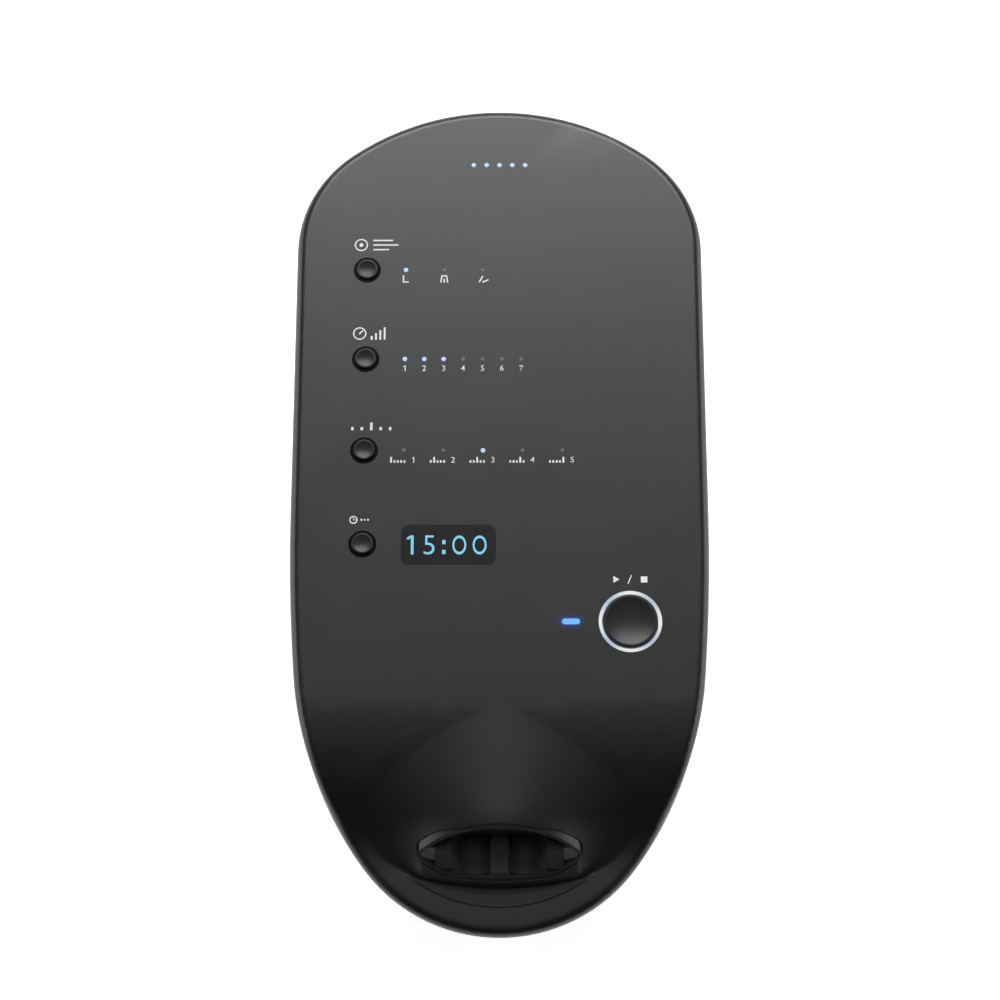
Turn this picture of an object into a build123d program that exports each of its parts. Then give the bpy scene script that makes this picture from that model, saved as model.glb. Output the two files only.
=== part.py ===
from build123d import *
import math
import os

# ---------------------------------------------------------------- driving dimensions (mm)
# Frame: X to the right, Y from the hose end (-Y) to the far end (+Y), Z up.
# The origin is on the surface the pump stands on, under the middle of its bounding box.
face_length = 217.8
face_width = 106.0
overall_height = 98.0
wall = 2.4
wall_draft = 10.0
rim_radius = 2.7
base_radius = 4.0
split_depth = 18.0
tongue_height = 2.0
seal_height = 0.6
fit_gap = 0.1
slide_gap = 0.18

# plan of the face: tangent arcs from the far end down to the hose end
crown_radius = 65.8
crown_angle = 36.5
flank_radius = 480.0
flank_angle = 5.0
shoulder_radius = 87.5
nose_angle = 52.5

# ramp, hood and chin at the hose end
ramp_start = 56.6
ramp_length = 41.0
ramp_convex_share = 0.70
chin_drop = 14.7
hood_back = 48.0
hood_half_width = 36.0
hood_middle = 28.9
lip_back = 26.9
lip_length = 15.4
mouth_half_width = 20.5
mouth_top = 1.0
mouth_corner = 11.2
mouth_bottom = 14.4
mouth_plan_radius = 95.2
mouth_bottom_back = 12.3
scoop_half_width = 22.3
scoop_front = 7.4
scoop_depth = 2.2
scoop_slope = 24.0
pad_margin = 1.6
pad_depth = 2.0
section_count = 26
section_points = 15
section_crowding = 0.38
flat_start = 1.3

# hose socket
socket_wall = 1.7
socket_step = 0.9
end_wall_back = 24.3
end_wall = 3.6
port_diameter = 4.4
port_mouth_diameter = 6.3
port_pitch = 9.3
port_height = 4.0
upper_port_diameter = 3.0
upper_port_pitch = 6.2
upper_port_rise = 5.2
seal_thickness = 0.9
rib_width = 4.3
rib_height = 4.2
side_rib_inner = 11.7
side_rib_outer = 16.2
socket_ear_x = 17.5
socket_ear_back = 12.5
socket_ear_drop = 9.0
socket_ear_thickness = 2.5
socket_ear_radius = 3.4

# control face
button_inset = 18.5
first_row = 62.1
row_pitch = 25.0
button_diameter = 5.52
bezel_diameter = 7.1
bezel_stand = 0.15
button_stand = 0.75
button_travel = 0.6
flange_height = 1.0
button_dish = 0.35
start_inset = 20.4
start_y = -33.1
start_ring_diameter = 15.8
start_ring_bore = 14.16
start_travel = 0.9
start_dish = 0.9
status_gap = 14.8
status_length = 4.5
status_width = 1.5
light_diameter = 1.2
light_gap = 10.1
light_pitch = 5.0
battery_row = 92.3
battery_light_pitch = 3.4
zone_light_pitch = 10.1
attachment_light_pitch = 10.0
window_gap = 21.65
window_y = -13.1
window_length = 23.9
window_height = 10.6
window_thickness = 1.2
window_ledge = 1.0

# inside
board_drop = 8.5
board_thickness = 1.6
board_margin = 7.0
board_front = -44.0
switch_size = 6.0
switch_height = 3.5
plunger_diameter = 3.4
led_height = 0.8
column_x = 25.0
column_back_y = 74.0
column_front_y = -50.0
column_radius = 4.2
column_shelf = 60.0
screw_diameter = 3.0
screw_head_diameter = 6.0
screw_length = 12.0
board_screw_inset = 10.5
board_screw_rows = (50.0, 0.0)
board_screw_diameter = 2.0
foot_height = 3.0
foot_recess = 1.0
foot_radius = 6.0
foot_x = 22.0
foot_back_y = 58.0
foot_front_y = -66.0
manifold_length = 12.8
manifold_height = 15.0
manifold_drop = 7.0
valve_count = 5
valve_pitch = 8.0
valve_width = 7.6
valve_length = 18.0
valve_height = 12.0
valve_spigot = 2.0
motor_radius = 13.5
motor_length = 32.0
can_wall = 1.2
motor_back_y = 40.0
motor_z = 30.0
shaft_radius = 1.6
shaft_gap = 0.05
bush_radius = 3.6
bush_length = 3.0
rotor_radius = 9.0
rotor_length = 20.0
magnet_thickness = 2.4
eccentric_radius = 5.0
eccentric_offset = 1.8
eccentric_length = 5.0
rod_width = 5.0
rod_plate = 1.2
pump_width = 34.0
pump_length = 17.0
pump_wall = 2.5
pump_height = 32.0
diaphragm_thickness = 1.2
head_height = 9.0
cap_height = 4.0
cradle_thickness = 2.0
isolator_height = 6.6
isolator_radius = 4.0
tube_diameter = 5.0
tube_bore = 3.0
tube_bend = 0.45
nozzle_x = 9.0
nozzle_length = 6.0
chamber_radius = 5.5
chamber_height = 2.5
stub_x = 12.0
sensor_y = -33.0
sensor_half = (7.0, 5.0)
sensor_height = 4.5
sensor_spout = 4.5
buzzer_spot = (20.0, 30.0)
buzzer_radius = 6.0
buzzer_height = 5.0
cell_radius = 9.1
cell_length = 50.0
cell_y = 54.0
cell_pitch = 19.2
holder_wall = 1.6
jack_z = 30.0
jack_diameter = 9.0
jack_bore = 5.5
jack_pin_diameter = 2.1
jack_hole_depth = 9.5
jack_length = 14.0
jack_width = 10.0
jack_height = 12.0
jack_recess = 1.2
jack_shoulder = 1.6
bracket_wall = 2.0
filter_y = -20.0
filter_radius = 8.0
intake_radius = 1.0
intake_ring = 4.0
filter_height = 3.0
filter_cap_thickness = 1.6
filter_spout = 7.0

# ---------------------------------------------------------------- worked out from the above
half_length = face_length / 2
half_width = face_width / 2
face_z = overall_height
split_z = face_z - split_depth
floor_z = foot_height + wall
under_face = face_z - wall
chin_z = face_z - chin_drop
board_top = face_z - board_drop
board_bottom = board_top - board_thickness
ramp_y = -half_length + ramp_start
lip_y = -half_length + lip_back
end_wall_y = -half_length + end_wall_back
mouth_bottom_y = -half_length + mouth_bottom_back
socket_ear_y = end_wall_y + socket_ear_back
socket_ear_top = face_z - socket_ear_drop
flange_top = under_face - fit_gap
plunger_top = flange_top - flange_height
button_rows = [first_row - row_pitch * i for i in range(4)]
button_column = button_inset - half_width
start_x = half_width - start_inset
status_x = start_x - status_gap
light_column = button_column + light_gap
window_x = button_column + window_gap
board_screw_x = half_width - board_screw_inset
motor_front_y = motor_back_y - motor_length
pump_back_y = motor_front_y
pump_front_y = pump_back_y - pump_length
pump_mid_y = (pump_front_y + pump_back_y) / 2
plate_top = floor_z + isolator_height + cradle_thickness
pump_top = plate_top + pump_height
head_bottom = pump_top + diaphragm_thickness
head_top = head_bottom + head_height
manifold_front_y = end_wall_y + end_wall
manifold_back_y = manifold_front_y + manifold_length
manifold_top = face_z - manifold_drop
manifold_bottom = manifold_top - manifold_height
valve_mid = manifold_bottom + valve_height / 2
filter_top = floor_z + filter_height
slope = math.tan(math.radians(wall_draft))


def sin_deg(angle):
    return math.sin(math.radians(angle))


def cos_deg(angle):
    return math.cos(math.radians(angle))


# ---------------------------------------------------------------- helpers
def face_outline(inset=0.0):
    """Plan of the housing at face level, moved inwards by inset; every arc keeps its centre."""
    reach = half_width - inset
    crown = crown_radius - inset
    corner = (reach - crown * sin_deg(crown_angle)) / (1 - sin_deg(crown_angle))
    flank = flank_radius - inset
    shoulder = shoulder_radius - inset
    shoulder_end = 90 - flank_angle
    nose = reach - flank * (1 - sin_deg(shoulder_end))
    nose = nose - shoulder * (sin_deg(shoulder_end) - sin_deg(nose_angle))
    nose = nose / sin_deg(nose_angle)
    a = JernArc((0, half_length - inset), (1, 0), crown, -crown_angle)
    b = JernArc(a @ 1, a % 1, corner, crown_angle - 90)
    c = JernArc((0, inset - half_length), (1, 0), nose, nose_angle)
    d = JernArc(c @ 1, c % 1, shoulder, shoulder_end - nose_angle)
    e = JernArc(d @ 1, d % 1, flank, flank_angle)
    right = [a, b, Line(b @ 1, e @ 1), e, d, c]
    edges = []
    for curve in right + [mirror(curve, Plane.YZ) for curve in right]:
        edges += curve.edges()
    return make_face(edges)


def straight(inset, bottom, top):
    """The plan of the front shell between two heights; its walls are upright."""
    return extrude(Pos(0, 0, bottom) * face_outline(inset), amount=top - bottom)


def tapered(inset, bottom, top):
    """The plan of the rear shell between two heights; its walls lean in towards the base."""
    plan = face_outline(inset + (split_z - top) * slope)
    return extrude(Pos(0, 0, top) * plan, amount=bottom - top, taper=wall_draft)


def rod(x, y, low, high, radius):
    """An upright round bar."""
    return Pos(x, y, low) * Cylinder(radius, high - low, align=(Align.CENTER, Align.CENTER, Align.MIN))


def along_y(x, z, back, front, radius):
    """A round bar along Y from the higher y to the lower y."""
    bar = Cylinder(radius, back - front, align=(Align.CENTER, Align.CENTER, Align.MIN))
    return Pos(x, back, z) * Rot(90, 0, 0) * bar


def block(x0, x1, y0, y1, z0, z1):
    """A box given by its limits."""
    box = Box(x1 - x0, y1 - y0, z1 - z0, align=(Align.MIN, Align.MIN, Align.MIN))
    return Pos(x0, y0, z0) * box


def pill(x, y, length, width, low, high):
    """An upright bar with a rounded-end section."""
    return extrude(Pos(x, y, low) * SlotOverall(length, width), amount=high - low)


def profile_along_x(points, x0, x1):
    """A closed outline in the Y-Z plane, extruded from x0 to x1."""
    outline = make_face(Polyline(*points, close=True).edges())
    return Pos(x0, 0, 0) * extrude(Plane.YZ * outline, amount=x1 - x0)


def save(shape, name):
    export_step(shape, f"parts/{name}.step")


# ---------------------------------------------------------------- top surface
def ramp_drop(y):
    """How far the ramp lies under the face: a wide convex arc, then a tighter concave one."""
    run = ramp_y - y
    if run <= 0:
        return 0.0
    angle = 2 * math.atan(chin_drop / ramp_length)
    radius_sum = ramp_length / math.sin(angle)
    convex = radius_sum * ramp_convex_share
    concave = radius_sum - convex
    if run < ramp_length * ramp_convex_share:
        return convex - math.sqrt(convex ** 2 - run ** 2)
    rest = max(0.0, ramp_length - run)
    return chin_drop - concave + math.sqrt(concave ** 2 - rest ** 2)


def hood_share(x, y):
    """1 on the hood's crest, 0 on the ramp and the chin beside and in front of it."""
    along = (y + half_length - hood_middle) / (hood_back - hood_middle + 4)
    reach = hood_half_width * math.sqrt(max(0.0, 1 - min(1.0, abs(along)) ** 2))
    if reach <= 0 or abs(x) >= reach:
        return 0.0
    side = (1 - (abs(x) / reach) ** 2.6) ** 1.6
    front = (lip_y - y + x ** 2 / (2 * mouth_plan_radius)) / lip_length
    front = min(1.0, max(0.0, front))
    return side * (1 - front ** 2 * (3 - 2 * front))


def deck_height(x, y):
    return face_z - ramp_drop(y) * (1 - hood_share(x, y))


def above_deck(lowered=0.0):
    """Everything above the top surface, lowered by one wall for the inside."""
    reach = face_width * 0.66
    high = face_z + 20
    steps = [i / section_points for i in range(-section_points, section_points + 1)]
    shares = [(1 - section_crowding) * t + section_crowding * t ** 3 for t in steps]
    spots = [(s + 1) / 2 for s in shares]
    sections = []
    start = -half_length - 18.0
    step = (ramp_y - start) / section_count
    stations = [start + step * i for i in range(section_count + 1)]
    stations += [ramp_y + flat_start, ramp_y + flat_start + 1.0]
    for y in stations:
        points = [Vector(reach * s, y, deck_height(reach * s, y) - lowered) for s in shares]
        top = Edge.make_spline(points, parameters=spots)
        right = Edge.make_line(points[-1], (reach, y, high))
        left = Edge.make_line((-reach, y, high), points[0])
        roof = Edge.make_line((reach, y, high), (-reach, y, high))
        sections.append(Wire([top, right, roof, left]))
    front = Solid.make_loft(sections, ruled=False)
    back = block(-reach, reach, stations[-1], half_length + 10, face_z - lowered, high)
    return front + back


def mouth_front(setback=0.0):
    """Everything in front of the slanted mouth, which is curved in plan."""
    radius = mouth_plan_radius
    centre_y = mouth_bottom_y + radius
    rise = lip_length * 0.8 / chin_drop
    near = radius - setback
    low = chin_z - 8
    high = face_z + 10
    outline = Polyline(
        (near - (low - chin_z) * rise, low),
        (near - (high - chin_z) * rise, high),
        (radius + 60, high),
        (radius + 60, low),
        close=True,
    )
    ring = revolve(Plane.XZ * make_face(outline.edges()), axis=Axis.Z)
    return Pos(0, centre_y, 0) * ring


def mouth_lens(inset, front_y, back_y):
    """The eye-shaped tube of the hose mouth, between two places along Y."""
    left = (-mouth_half_width, face_z - mouth_corner)
    right = (mouth_half_width, face_z - mouth_corner)
    top = ThreePointArc(left, (0, face_z - mouth_top), right)
    bottom = ThreePointArc(right, (0, face_z - mouth_bottom), left)
    lens = make_face(top.edges() + bottom.edges())
    if inset > 0:
        lens = offset(lens, amount=-inset)
    return Pos(0, back_y, 0) * extrude(Plane.XZ * lens, amount=back_y - front_y)


def scoop(wider=0.0, deeper=0.0):
    """The crescent hollow in the chin below the mouth; made larger it is the pad that backs it."""
    radius = (scoop_half_width ** 2 + scoop_front ** 2) / (2 * scoop_front) + wider
    depth = scoop_depth + deeper
    run = depth / math.tan(math.radians(scoop_slope))
    rise = 0.5
    spread = rise / math.tan(math.radians(scoop_slope))
    cone = Cone(radius - run, radius + spread, depth + rise, align=(Align.CENTER, Align.CENTER, Align.MIN))
    crescent_tip = mouth_bottom_y + 2.6
    hollow = Pos(0, crescent_tip - scoop_front + radius - wider, chin_z - depth) * cone
    backing = Cylinder(mouth_plan_radius - 0.6 - 2 * wider, 30)
    return hollow - Pos(0, mouth_bottom_y + mouth_plan_radius, chin_z) * backing


def rim_edges(body):
    """The edges where the top surface meets the side walls."""
    seen = {}
    for face in body.faces():
        if face.normal_at(face.center()).Z > 0.5:
            for edge in face.edges():
                middle = edge.center()
                key = (round(middle.X, 1), round(middle.Y, 1), round(middle.Z, 1), round(edge.length, 1))
                seen.setdefault(key, []).append(edge)
    return [found[0] for found in seen.values() if len(found) == 1]


# ---------------------------------------------------------------- shells
def light_spots():
    """Places of the LED dots, row by row."""
    rows = button_rows
    return {
        "battery_lights": [(battery_light_pitch * (i - 2), battery_row) for i in range(5)],
        "attachment_lights": [(light_column + attachment_light_pitch * i, rows[0]) for i in range(3)],
        "pressure_lights": [(light_column + light_pitch * i, rows[1]) for i in range(7)],
        "zone_lights": [(light_column + zone_light_pitch * i, rows[2]) for i in range(5)],
    }


def column_spots():
    return [(s * column_x, y) for y in (column_back_y, column_front_y) for s in (-1, 1)]


def board_screw_spots():
    return [(s * board_screw_x, y) for y in board_screw_rows for s in (-1, 1)]


def socket_screw_spots():
    return [(s * socket_ear_x, socket_ear_y) for s in (-1, 1)]


def front_shell():
    top = above_deck()
    outer = straight(0, split_z, face_z + 8) - top
    outer = outer.fillet(rim_radius, rim_edges(outer))
    pad = scoop(pad_margin, pad_depth) & straight(wall / 2, split_z, chin_z - wall / 2)
    hollow = straight(wall, split_z - 1, face_z + 8) - above_deck(wall)
    groove_top = split_z + tongue_height + seal_height
    groove = straight(wall / 2, split_z - 1, groove_top) - straight(wall + 0.1, split_z - 2, groove_top + 1)
    shell = outer - (hollow + groove - pad)
    bosses = [rod(x, y, column_shelf + 3.0, face_z + 5, column_radius - 0.6) for x, y in column_spots()]
    bosses += [rod(x, y, board_top, face_z + 5, 2.6) for x, y in board_screw_spots()]
    bosses += [rod(x, y, socket_ear_top, face_z + 5, 2.9) for x, y in socket_screw_spots()]
    ceiling = above_deck(wall * 0.5)
    for boss in bosses:
        shell = shell + (boss - ceiling)
    for x, y in column_spots():
        shell = shell - rod(x, y, column_shelf, column_shelf + 3.0 + screw_length, screw_diameter / 2)
    for x, y in board_screw_spots():
        shell = shell - rod(x, y, board_top - 1, under_face - 0.6, board_screw_diameter / 2)
    for x, y in socket_screw_spots():
        shell = shell - rod(x, y, socket_ear_top - 1, socket_ear_top + 4.0, board_screw_diameter / 2)
    low = under_face - 1
    high = face_z + 1
    for y in button_rows:
        shell = shell - rod(button_column, y, low, high, bezel_diameter / 2)
    shell = shell - rod(start_x, start_y, low, high, start_ring_diameter / 2)
    for spots in light_spots().values():
        for x, y in spots:
            shell = shell - rod(x, y, low, high, light_diameter / 2)
    shell = shell - pill(status_x, start_y, status_length, status_width, low, high)
    shell = shell - window_plate(0.0, high - face_z + window_thickness)
    shell = shell - window_plate(-window_ledge, wall + 2)
    shell = shell - mouth_lens(0.0, -half_length - 5, end_wall_y + 10)
    return shell - scoop()


def window_plate(grow, height):
    """A rounded plate of the display window's size, grown and with its top 1 mm over its seat."""
    plate = RectangleRounded(window_length + 2 * grow, window_height + 2 * grow, 2.0 + grow * 0.5)
    low = face_z - window_thickness if grow >= 0 else under_face - 1
    return extrude(Pos(window_x, window_y, low) * plate, amount=height)


def rear_shell():
    outer = tapered(0, foot_height, split_z)
    base_edges = [e for e in outer.edges() if abs(e.center().Z - foot_height) < 0.01 and e.length > 1]
    outer = outer.fillet(base_radius, base_edges)
    shell = outer - tapered(wall, floor_z, split_z)
    tongue = straight(wall / 2 + fit_gap, split_z, split_z + tongue_height)
    shell = shell + (tongue - straight(wall, split_z - 1, split_z + tongue_height + 1))
    inner_limit = tapered(wall * 0.4, foot_height, split_z)
    for x, y in column_spots():
        column = rod(x, y, foot_height, column_shelf + 3.0 - fit_gap, column_radius)
        shell = shell + (column & inner_limit)
    for x, y in column_spots():
        shell = shell - rod(x, y, foot_height - 1, column_shelf, screw_head_diameter / 2 + 0.3)
        shell = shell - rod(x, y, column_shelf - 1, column_shelf + 4, screw_diameter / 2 + 0.2)
    for x, y in foot_spots():
        shell = shell - rod(x, y, foot_height - 1, foot_height + foot_recess, foot_radius)
    shell = shell - jack_hole()
    seat = rod(0, filter_y, floor_z - 1, filter_top, filter_radius + filter_cap_thickness)
    shell = shell + (seat - rod(0, filter_y, floor_z, filter_top + 1, filter_radius))
    for x, y in intake_spots():
        shell = shell - rod(x, y, foot_height - 1, floor_z + 0.5, intake_radius)
    return shell


def intake_spots():
    """The air holes in the base: one in the middle and six round it."""
    spots = [(0, filter_y)]
    for i in range(6):
        angle = math.radians(60 * i)
        spots.append((intake_ring * math.cos(angle), filter_y + intake_ring * math.sin(angle)))
    return spots


def case_seal():
    low = split_z + tongue_height
    ring = straight(wall / 2 + fit_gap, low, low + seal_height)
    return ring - straight(wall * 0.9, low - 1, low + seal_height + 1)


# ---------------------------------------------------------------- feet and screws
def foot_spots():
    return [(s * foot_x, y) for y in (foot_back_y, foot_front_y) for s in (-1, 1)]


def foot(x, y):
    pad = rod(x, y, 0, foot_height + foot_recess, foot_radius)
    return chamfer(pad.edges().sort_by(Axis.Z)[0], 0.6)


def screw(x, y, seat, tip, diameter, head_diameter, head_height):
    """A pan-head screw with its head under the seat and a cross recess."""
    shank = rod(x, y, seat, tip, diameter / 2)
    head = rod(x, y, seat - head_height, seat, head_diameter / 2)
    head = fillet(head.edges().sort_by(Axis.Z)[0], head_height * 0.35)
    arm = head_diameter * 0.3
    slot = block(x - arm, x + arm, y - 0.35, y + 0.35, seat - head_height - 1, seat - head_height * 0.5)
    cross = slot + Pos(x, y, 0) * Rot(0, 0, 90) * Pos(-x, -y, 0) * slot
    return shank + head - cross


def case_screws():
    tip = column_shelf + screw_length
    return [screw(x, y, column_shelf, tip, screw_diameter, screw_head_diameter, 2.4) for x, y in column_spots()]


def board_screws():
    tip = board_top + 4.5
    return [screw(x, y, board_bottom, tip, board_screw_diameter, 3.8, 1.5) for x, y in board_screw_spots()]


def socket_screws():
    seat = socket_ear_top - socket_ear_thickness
    return [screw(x, y, seat, seat + 6.0, board_screw_diameter, 3.8, 1.5) for x, y in socket_screw_spots()]


# ---------------------------------------------------------------- hose socket
def hose_socket():
    back_y = end_wall_y + end_wall
    tube = mouth_lens(fit_gap, -half_length, back_y) - mouth_front(0.6)
    floor_top = chin_z + rib_height
    step = mouth_lens(socket_step, -half_length, end_wall_y) & mouth_front(-1.4)
    cavity = mouth_lens(socket_wall, -half_length - 1, end_wall_y)
    keep = block(-mouth_half_width, mouth_half_width, -half_length - 2, end_wall_y, chin_z - 2, floor_top)
    tube = tube - step - (cavity - keep)
    half_rib = rib_width / 2
    trough_radius = (side_rib_inner - half_rib - 2.3) / 2
    trough_x = half_rib + 0.25 + trough_radius
    for s in (-1, 1):
        tube = tube - along_y(s * trough_x, floor_top, end_wall_y, -half_length, trough_radius)
    lens = mouth_lens(socket_wall * 0.5, -half_length, end_wall_y + 0.5)
    rib = [
        (end_wall_y + 0.5, floor_top + 0.9),
        (end_wall_y - 5.5, floor_top + 0.9),
        (end_wall_y - 8.0, floor_top - 1.0),
        (end_wall_y - 9.2, floor_top - rib_height + 1),
        (end_wall_y + 0.5, floor_top - rib_height + 1),
    ]
    ribs = profile_along_x(rib, -half_rib, half_rib)
    high = [
        (end_wall_y + 0.5, floor_top + 2.8),
        (end_wall_y - 4.2, floor_top + 2.8),
        (end_wall_y - 6.6, floor_top + 0.6),
        (end_wall_y - 7.6, floor_top - 2),
        (end_wall_y + 0.5, floor_top - 2),
    ]
    for s in (-1, 1):
        near, far = sorted((s * side_rib_inner, s * side_rib_outer))
        ribs = ribs + profile_along_x(high, near, far)
    tube = tube + (ribs & lens)
    for x, y in socket_screw_spots():
        ear_low = socket_ear_top - socket_ear_thickness
        ear = rod(x, y, ear_low, socket_ear_top, socket_ear_radius)
        arm = block(x - socket_ear_radius, x + socket_ear_radius, back_y - 1, y, ear_low, socket_ear_top)
        tube = tube + ear + arm
        tube = tube - rod(x, y, socket_ear_top - 5, socket_ear_top + 1, board_screw_diameter / 2 + 0.1)
    for x, z, bore in port_spots():
        tube = tube - along_y(x, z, back_y + 1, end_wall_y - 0.5, bore / 2)
    for x, z, bore in port_spots()[:2]:
        tube = tube - along_y(x, z, end_wall_y + seal_thickness, end_wall_y - 0.5, port_mouth_diameter / 2)
    return tube


def port_spots():
    """Places and bores of the five ports in the end wall; the first two are the lower pair."""
    low = chin_z + port_height
    high = low + upper_port_rise
    lower = [(s * port_pitch / 2, low, port_diameter) for s in (-1, 1)]
    upper = [(i * upper_port_pitch, high, upper_port_diameter) for i in (-1, 0, 1)]
    return lower + upper


def port_seals():
    rings = []
    for x, z, bore in port_spots()[:2]:
        ring = along_y(x, z, end_wall_y + seal_thickness, end_wall_y + 0.1, port_mouth_diameter / 2)
        rings.append(ring - along_y(x, z, end_wall_y + 2, end_wall_y - 1, bore / 2 + 0.15))
    return rings


def valve_manifold():
    front = manifold_front_y
    back = manifold_back_y
    low = manifold_bottom
    high = manifold_top
    reach = valve_pitch * (valve_count - 1) / 2 + valve_width / 2 + 1.5
    ears = socket_ear_x - socket_ear_radius - 0.8
    body = block(-ears, ears, front, back, low, high)
    body = body + block(-reach, reach, front + 1.0, back, low, socket_ear_top - socket_ear_thickness - 2.5)
    for x, z, bore in port_spots():
        if z < high - bore / 2:
            body = body - along_y(x, z, front + 5, front - 1, bore / 2)
    for i in range(valve_count):
        x = valve_pitch * (i - (valve_count - 1) / 2)
        body = body - along_y(x, valve_mid, back + 1, back - 4, valve_spigot / 2)
    for x in (0, stub_x):
        body = body + rod(x, front + manifold_length / 2, low - 5, low + 1, tube_bore / 2)
    return body


def solenoid_valves():
    back = manifold_back_y
    low = manifold_bottom
    mid = valve_mid
    valves = []
    for i in range(valve_count):
        x = valve_pitch * (i - (valve_count - 1) / 2)
        frame = block(x - valve_width / 2, x + valve_width / 2, back, back + valve_length, low, low + valve_height)
        frame = chamfer(frame.edges().filter_by(Axis.Y), 0.5)
        window = block(x - valve_width / 2 + 1, x + valve_width / 2 - 1, back + 4, back + 15, low - 1, low + valve_height + 1)
        coil = along_y(x, mid, back + 15.2, back + 3.8, valve_width / 2 - 0.6)
        spigot = along_y(x, mid, back + 0.5, back - 3.5, valve_spigot / 2)
        pins = along_y(x, mid, back + valve_length + 2.5, back + valve_length - 0.5, 1.4)
        valves.append(frame - window + coil + spigot + pins)
    return valves


# ---------------------------------------------------------------- buttons
def small_cap(y):
    """A dished round cap with a retaining flange under the face."""
    radius = button_diameter / 2
    cap = rod(button_column, y, plunger_top, face_z + button_stand, radius)
    cap = fillet(cap.edges().sort_by(Axis.Z)[-1], 0.25)
    cap = cap + rod(button_column, y, plunger_top, flange_top, bezel_diameter / 2 + 0.7)
    dish = (radius - 0.5) ** 2 / (2 * button_dish) + button_dish / 2
    return cap - Pos(button_column, y, face_z + button_stand + dish - button_dish) * Sphere(dish)


def start_cap():
    radius = start_ring_bore / 2 - slide_gap
    top = face_z + button_stand
    cap = rod(start_x, start_y, plunger_top + 0.2, top, radius)
    cap = fillet(cap.edges().sort_by(Axis.Z)[-1], 0.4)
    tabs = block(start_x - 1.6, start_x + 1.6, start_y - radius - 1.9, start_y + radius + 1.9, plunger_top, flange_top)
    side = block(start_x - radius - 1.9, start_x + radius + 1.9, start_y - 1.6, start_y + 1.6, plunger_top, flange_top)
    cap = cap + tabs + side + rod(start_x, start_y, plunger_top, flange_top, radius - 1.5)
    dish = (radius - 0.8) ** 2 / (2 * start_dish) + start_dish / 2
    return cap - Pos(start_x, start_y, top + dish - start_dish) * Sphere(dish)


def start_ring():
    ring = rod(start_x, start_y, under_face, face_z + 0.05, start_ring_diameter / 2)
    return ring - rod(start_x, start_y, under_face - 1, face_z + 1, start_ring_bore / 2)


def button_bezels():
    rings = []
    for y in button_rows:
        ring = rod(button_column, y, under_face, face_z + bezel_stand, bezel_diameter / 2)
        ring = fillet(ring.edges().sort_by(Axis.Z)[-1], 0.12)
        bore = button_diameter / 2 + slide_gap
        rings.append(ring - rod(button_column, y, under_face - 1, face_z + 1, bore))
    return rings


def plunger(x, y, travel):
    low = board_top + switch_height - 0.6 - travel
    return rod(x, y, low, plunger_top, plunger_diameter / 2)


def switch_spots():
    return [(button_column, y) for y in button_rows] + [(start_x, start_y)]


def switch_bodies():
    bodies = []
    for x, y in switch_spots():
        half = switch_size / 2
        body = block(x - half, x + half, y - half, y + half, board_top, board_top + switch_height)
        body = chamfer(body.edges().filter_by(Axis.Z), 0.5)
        bodies.append(body - rod(x, y, board_top + 0.8, board_top + switch_height + 1, plunger_diameter / 2 + 0.15))
    return bodies


# ---------------------------------------------------------------- lights and display
def light_row(spots):
    """A light guide: one pin for each dot on a thin rail under the face."""
    low = board_top + led_height + 0.2
    guide = None
    for x, y in spots:
        pin = rod(x, y, low, face_z, light_diameter / 2)
        guide = pin if guide is None else guide + pin
    x0 = spots[0][0]
    x1 = spots[-1][0]
    y = spots[0][1]
    return guide + block(x0 - 1.2, x1 + 1.2, y - 0.9, y + 0.9, under_face - 1.0, under_face)


def status_light():
    low = board_top + led_height + 0.2
    pin = pill(status_x, start_y, status_length, status_width, low, face_z + 0.02)
    return pin + pill(status_x, start_y, status_length + 1.6, status_width + 1.6, under_face - 0.8, under_face)


def indicator_leds():
    spots = [spot for row in light_spots().values() for spot in row]
    spots.append((status_x, start_y))
    ring = (start_ring_diameter + start_ring_bore) / 4
    for i in range(4):
        angle = math.radians(45 + 90 * i)
        spots.append((start_x + ring * math.cos(angle), start_y + ring * math.sin(angle)))
    return [block(x - 0.8, x + 0.8, y - 0.4, y + 0.4, board_top, board_top + led_height) for x, y in spots]


def display_window():
    return window_plate(0.0, window_thickness)


def display_module():
    half_l = window_length / 2 - window_ledge - 0.7
    half_h = window_height / 2 - window_ledge - 0.7
    top = face_z - window_thickness - 0.2
    glass = block(window_x - half_l, window_x + half_l, window_y - half_h, window_y + half_h, board_top, top)
    half_l = window_length / 2
    half_h = window_height / 2
    low = block(window_x - half_l, window_x + half_l, window_y - half_h, window_y + half_h, board_top, under_face - 1.5)
    return glass + low


# ---------------------------------------------------------------- boards
def main_board():
    plan = face_outline(board_margin)
    board = extrude(Pos(0, 0, board_bottom) * plan, amount=board_thickness)
    board = board & block(-face_width, face_width, board_front, half_length, 0, face_z)
    for x, y in column_spots():
        board = board - rod(x, y, board_bottom - 1, board_top + 1, column_radius)
    for x, y in board_screw_spots():
        board = board - rod(x, y, board_bottom - 1, board_top + 1, board_screw_diameter / 2 + 0.15)
    return board


def buzzer():
    x, y = buzzer_spot
    low = board_bottom - buzzer_height
    return rod(x, y, low, board_bottom, buzzer_radius) - rod(x, y, low - 1, low + 1.5, 1)


def pressure_sensor():
    half_x, half_y = sensor_half
    low = board_bottom - sensor_height
    body = block(-half_x, half_x, sensor_y - half_y, sensor_y + half_y, low, board_bottom)
    return body + rod(0, sensor_y, low - sensor_spout, low + 1, tube_bore / 2)


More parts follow.
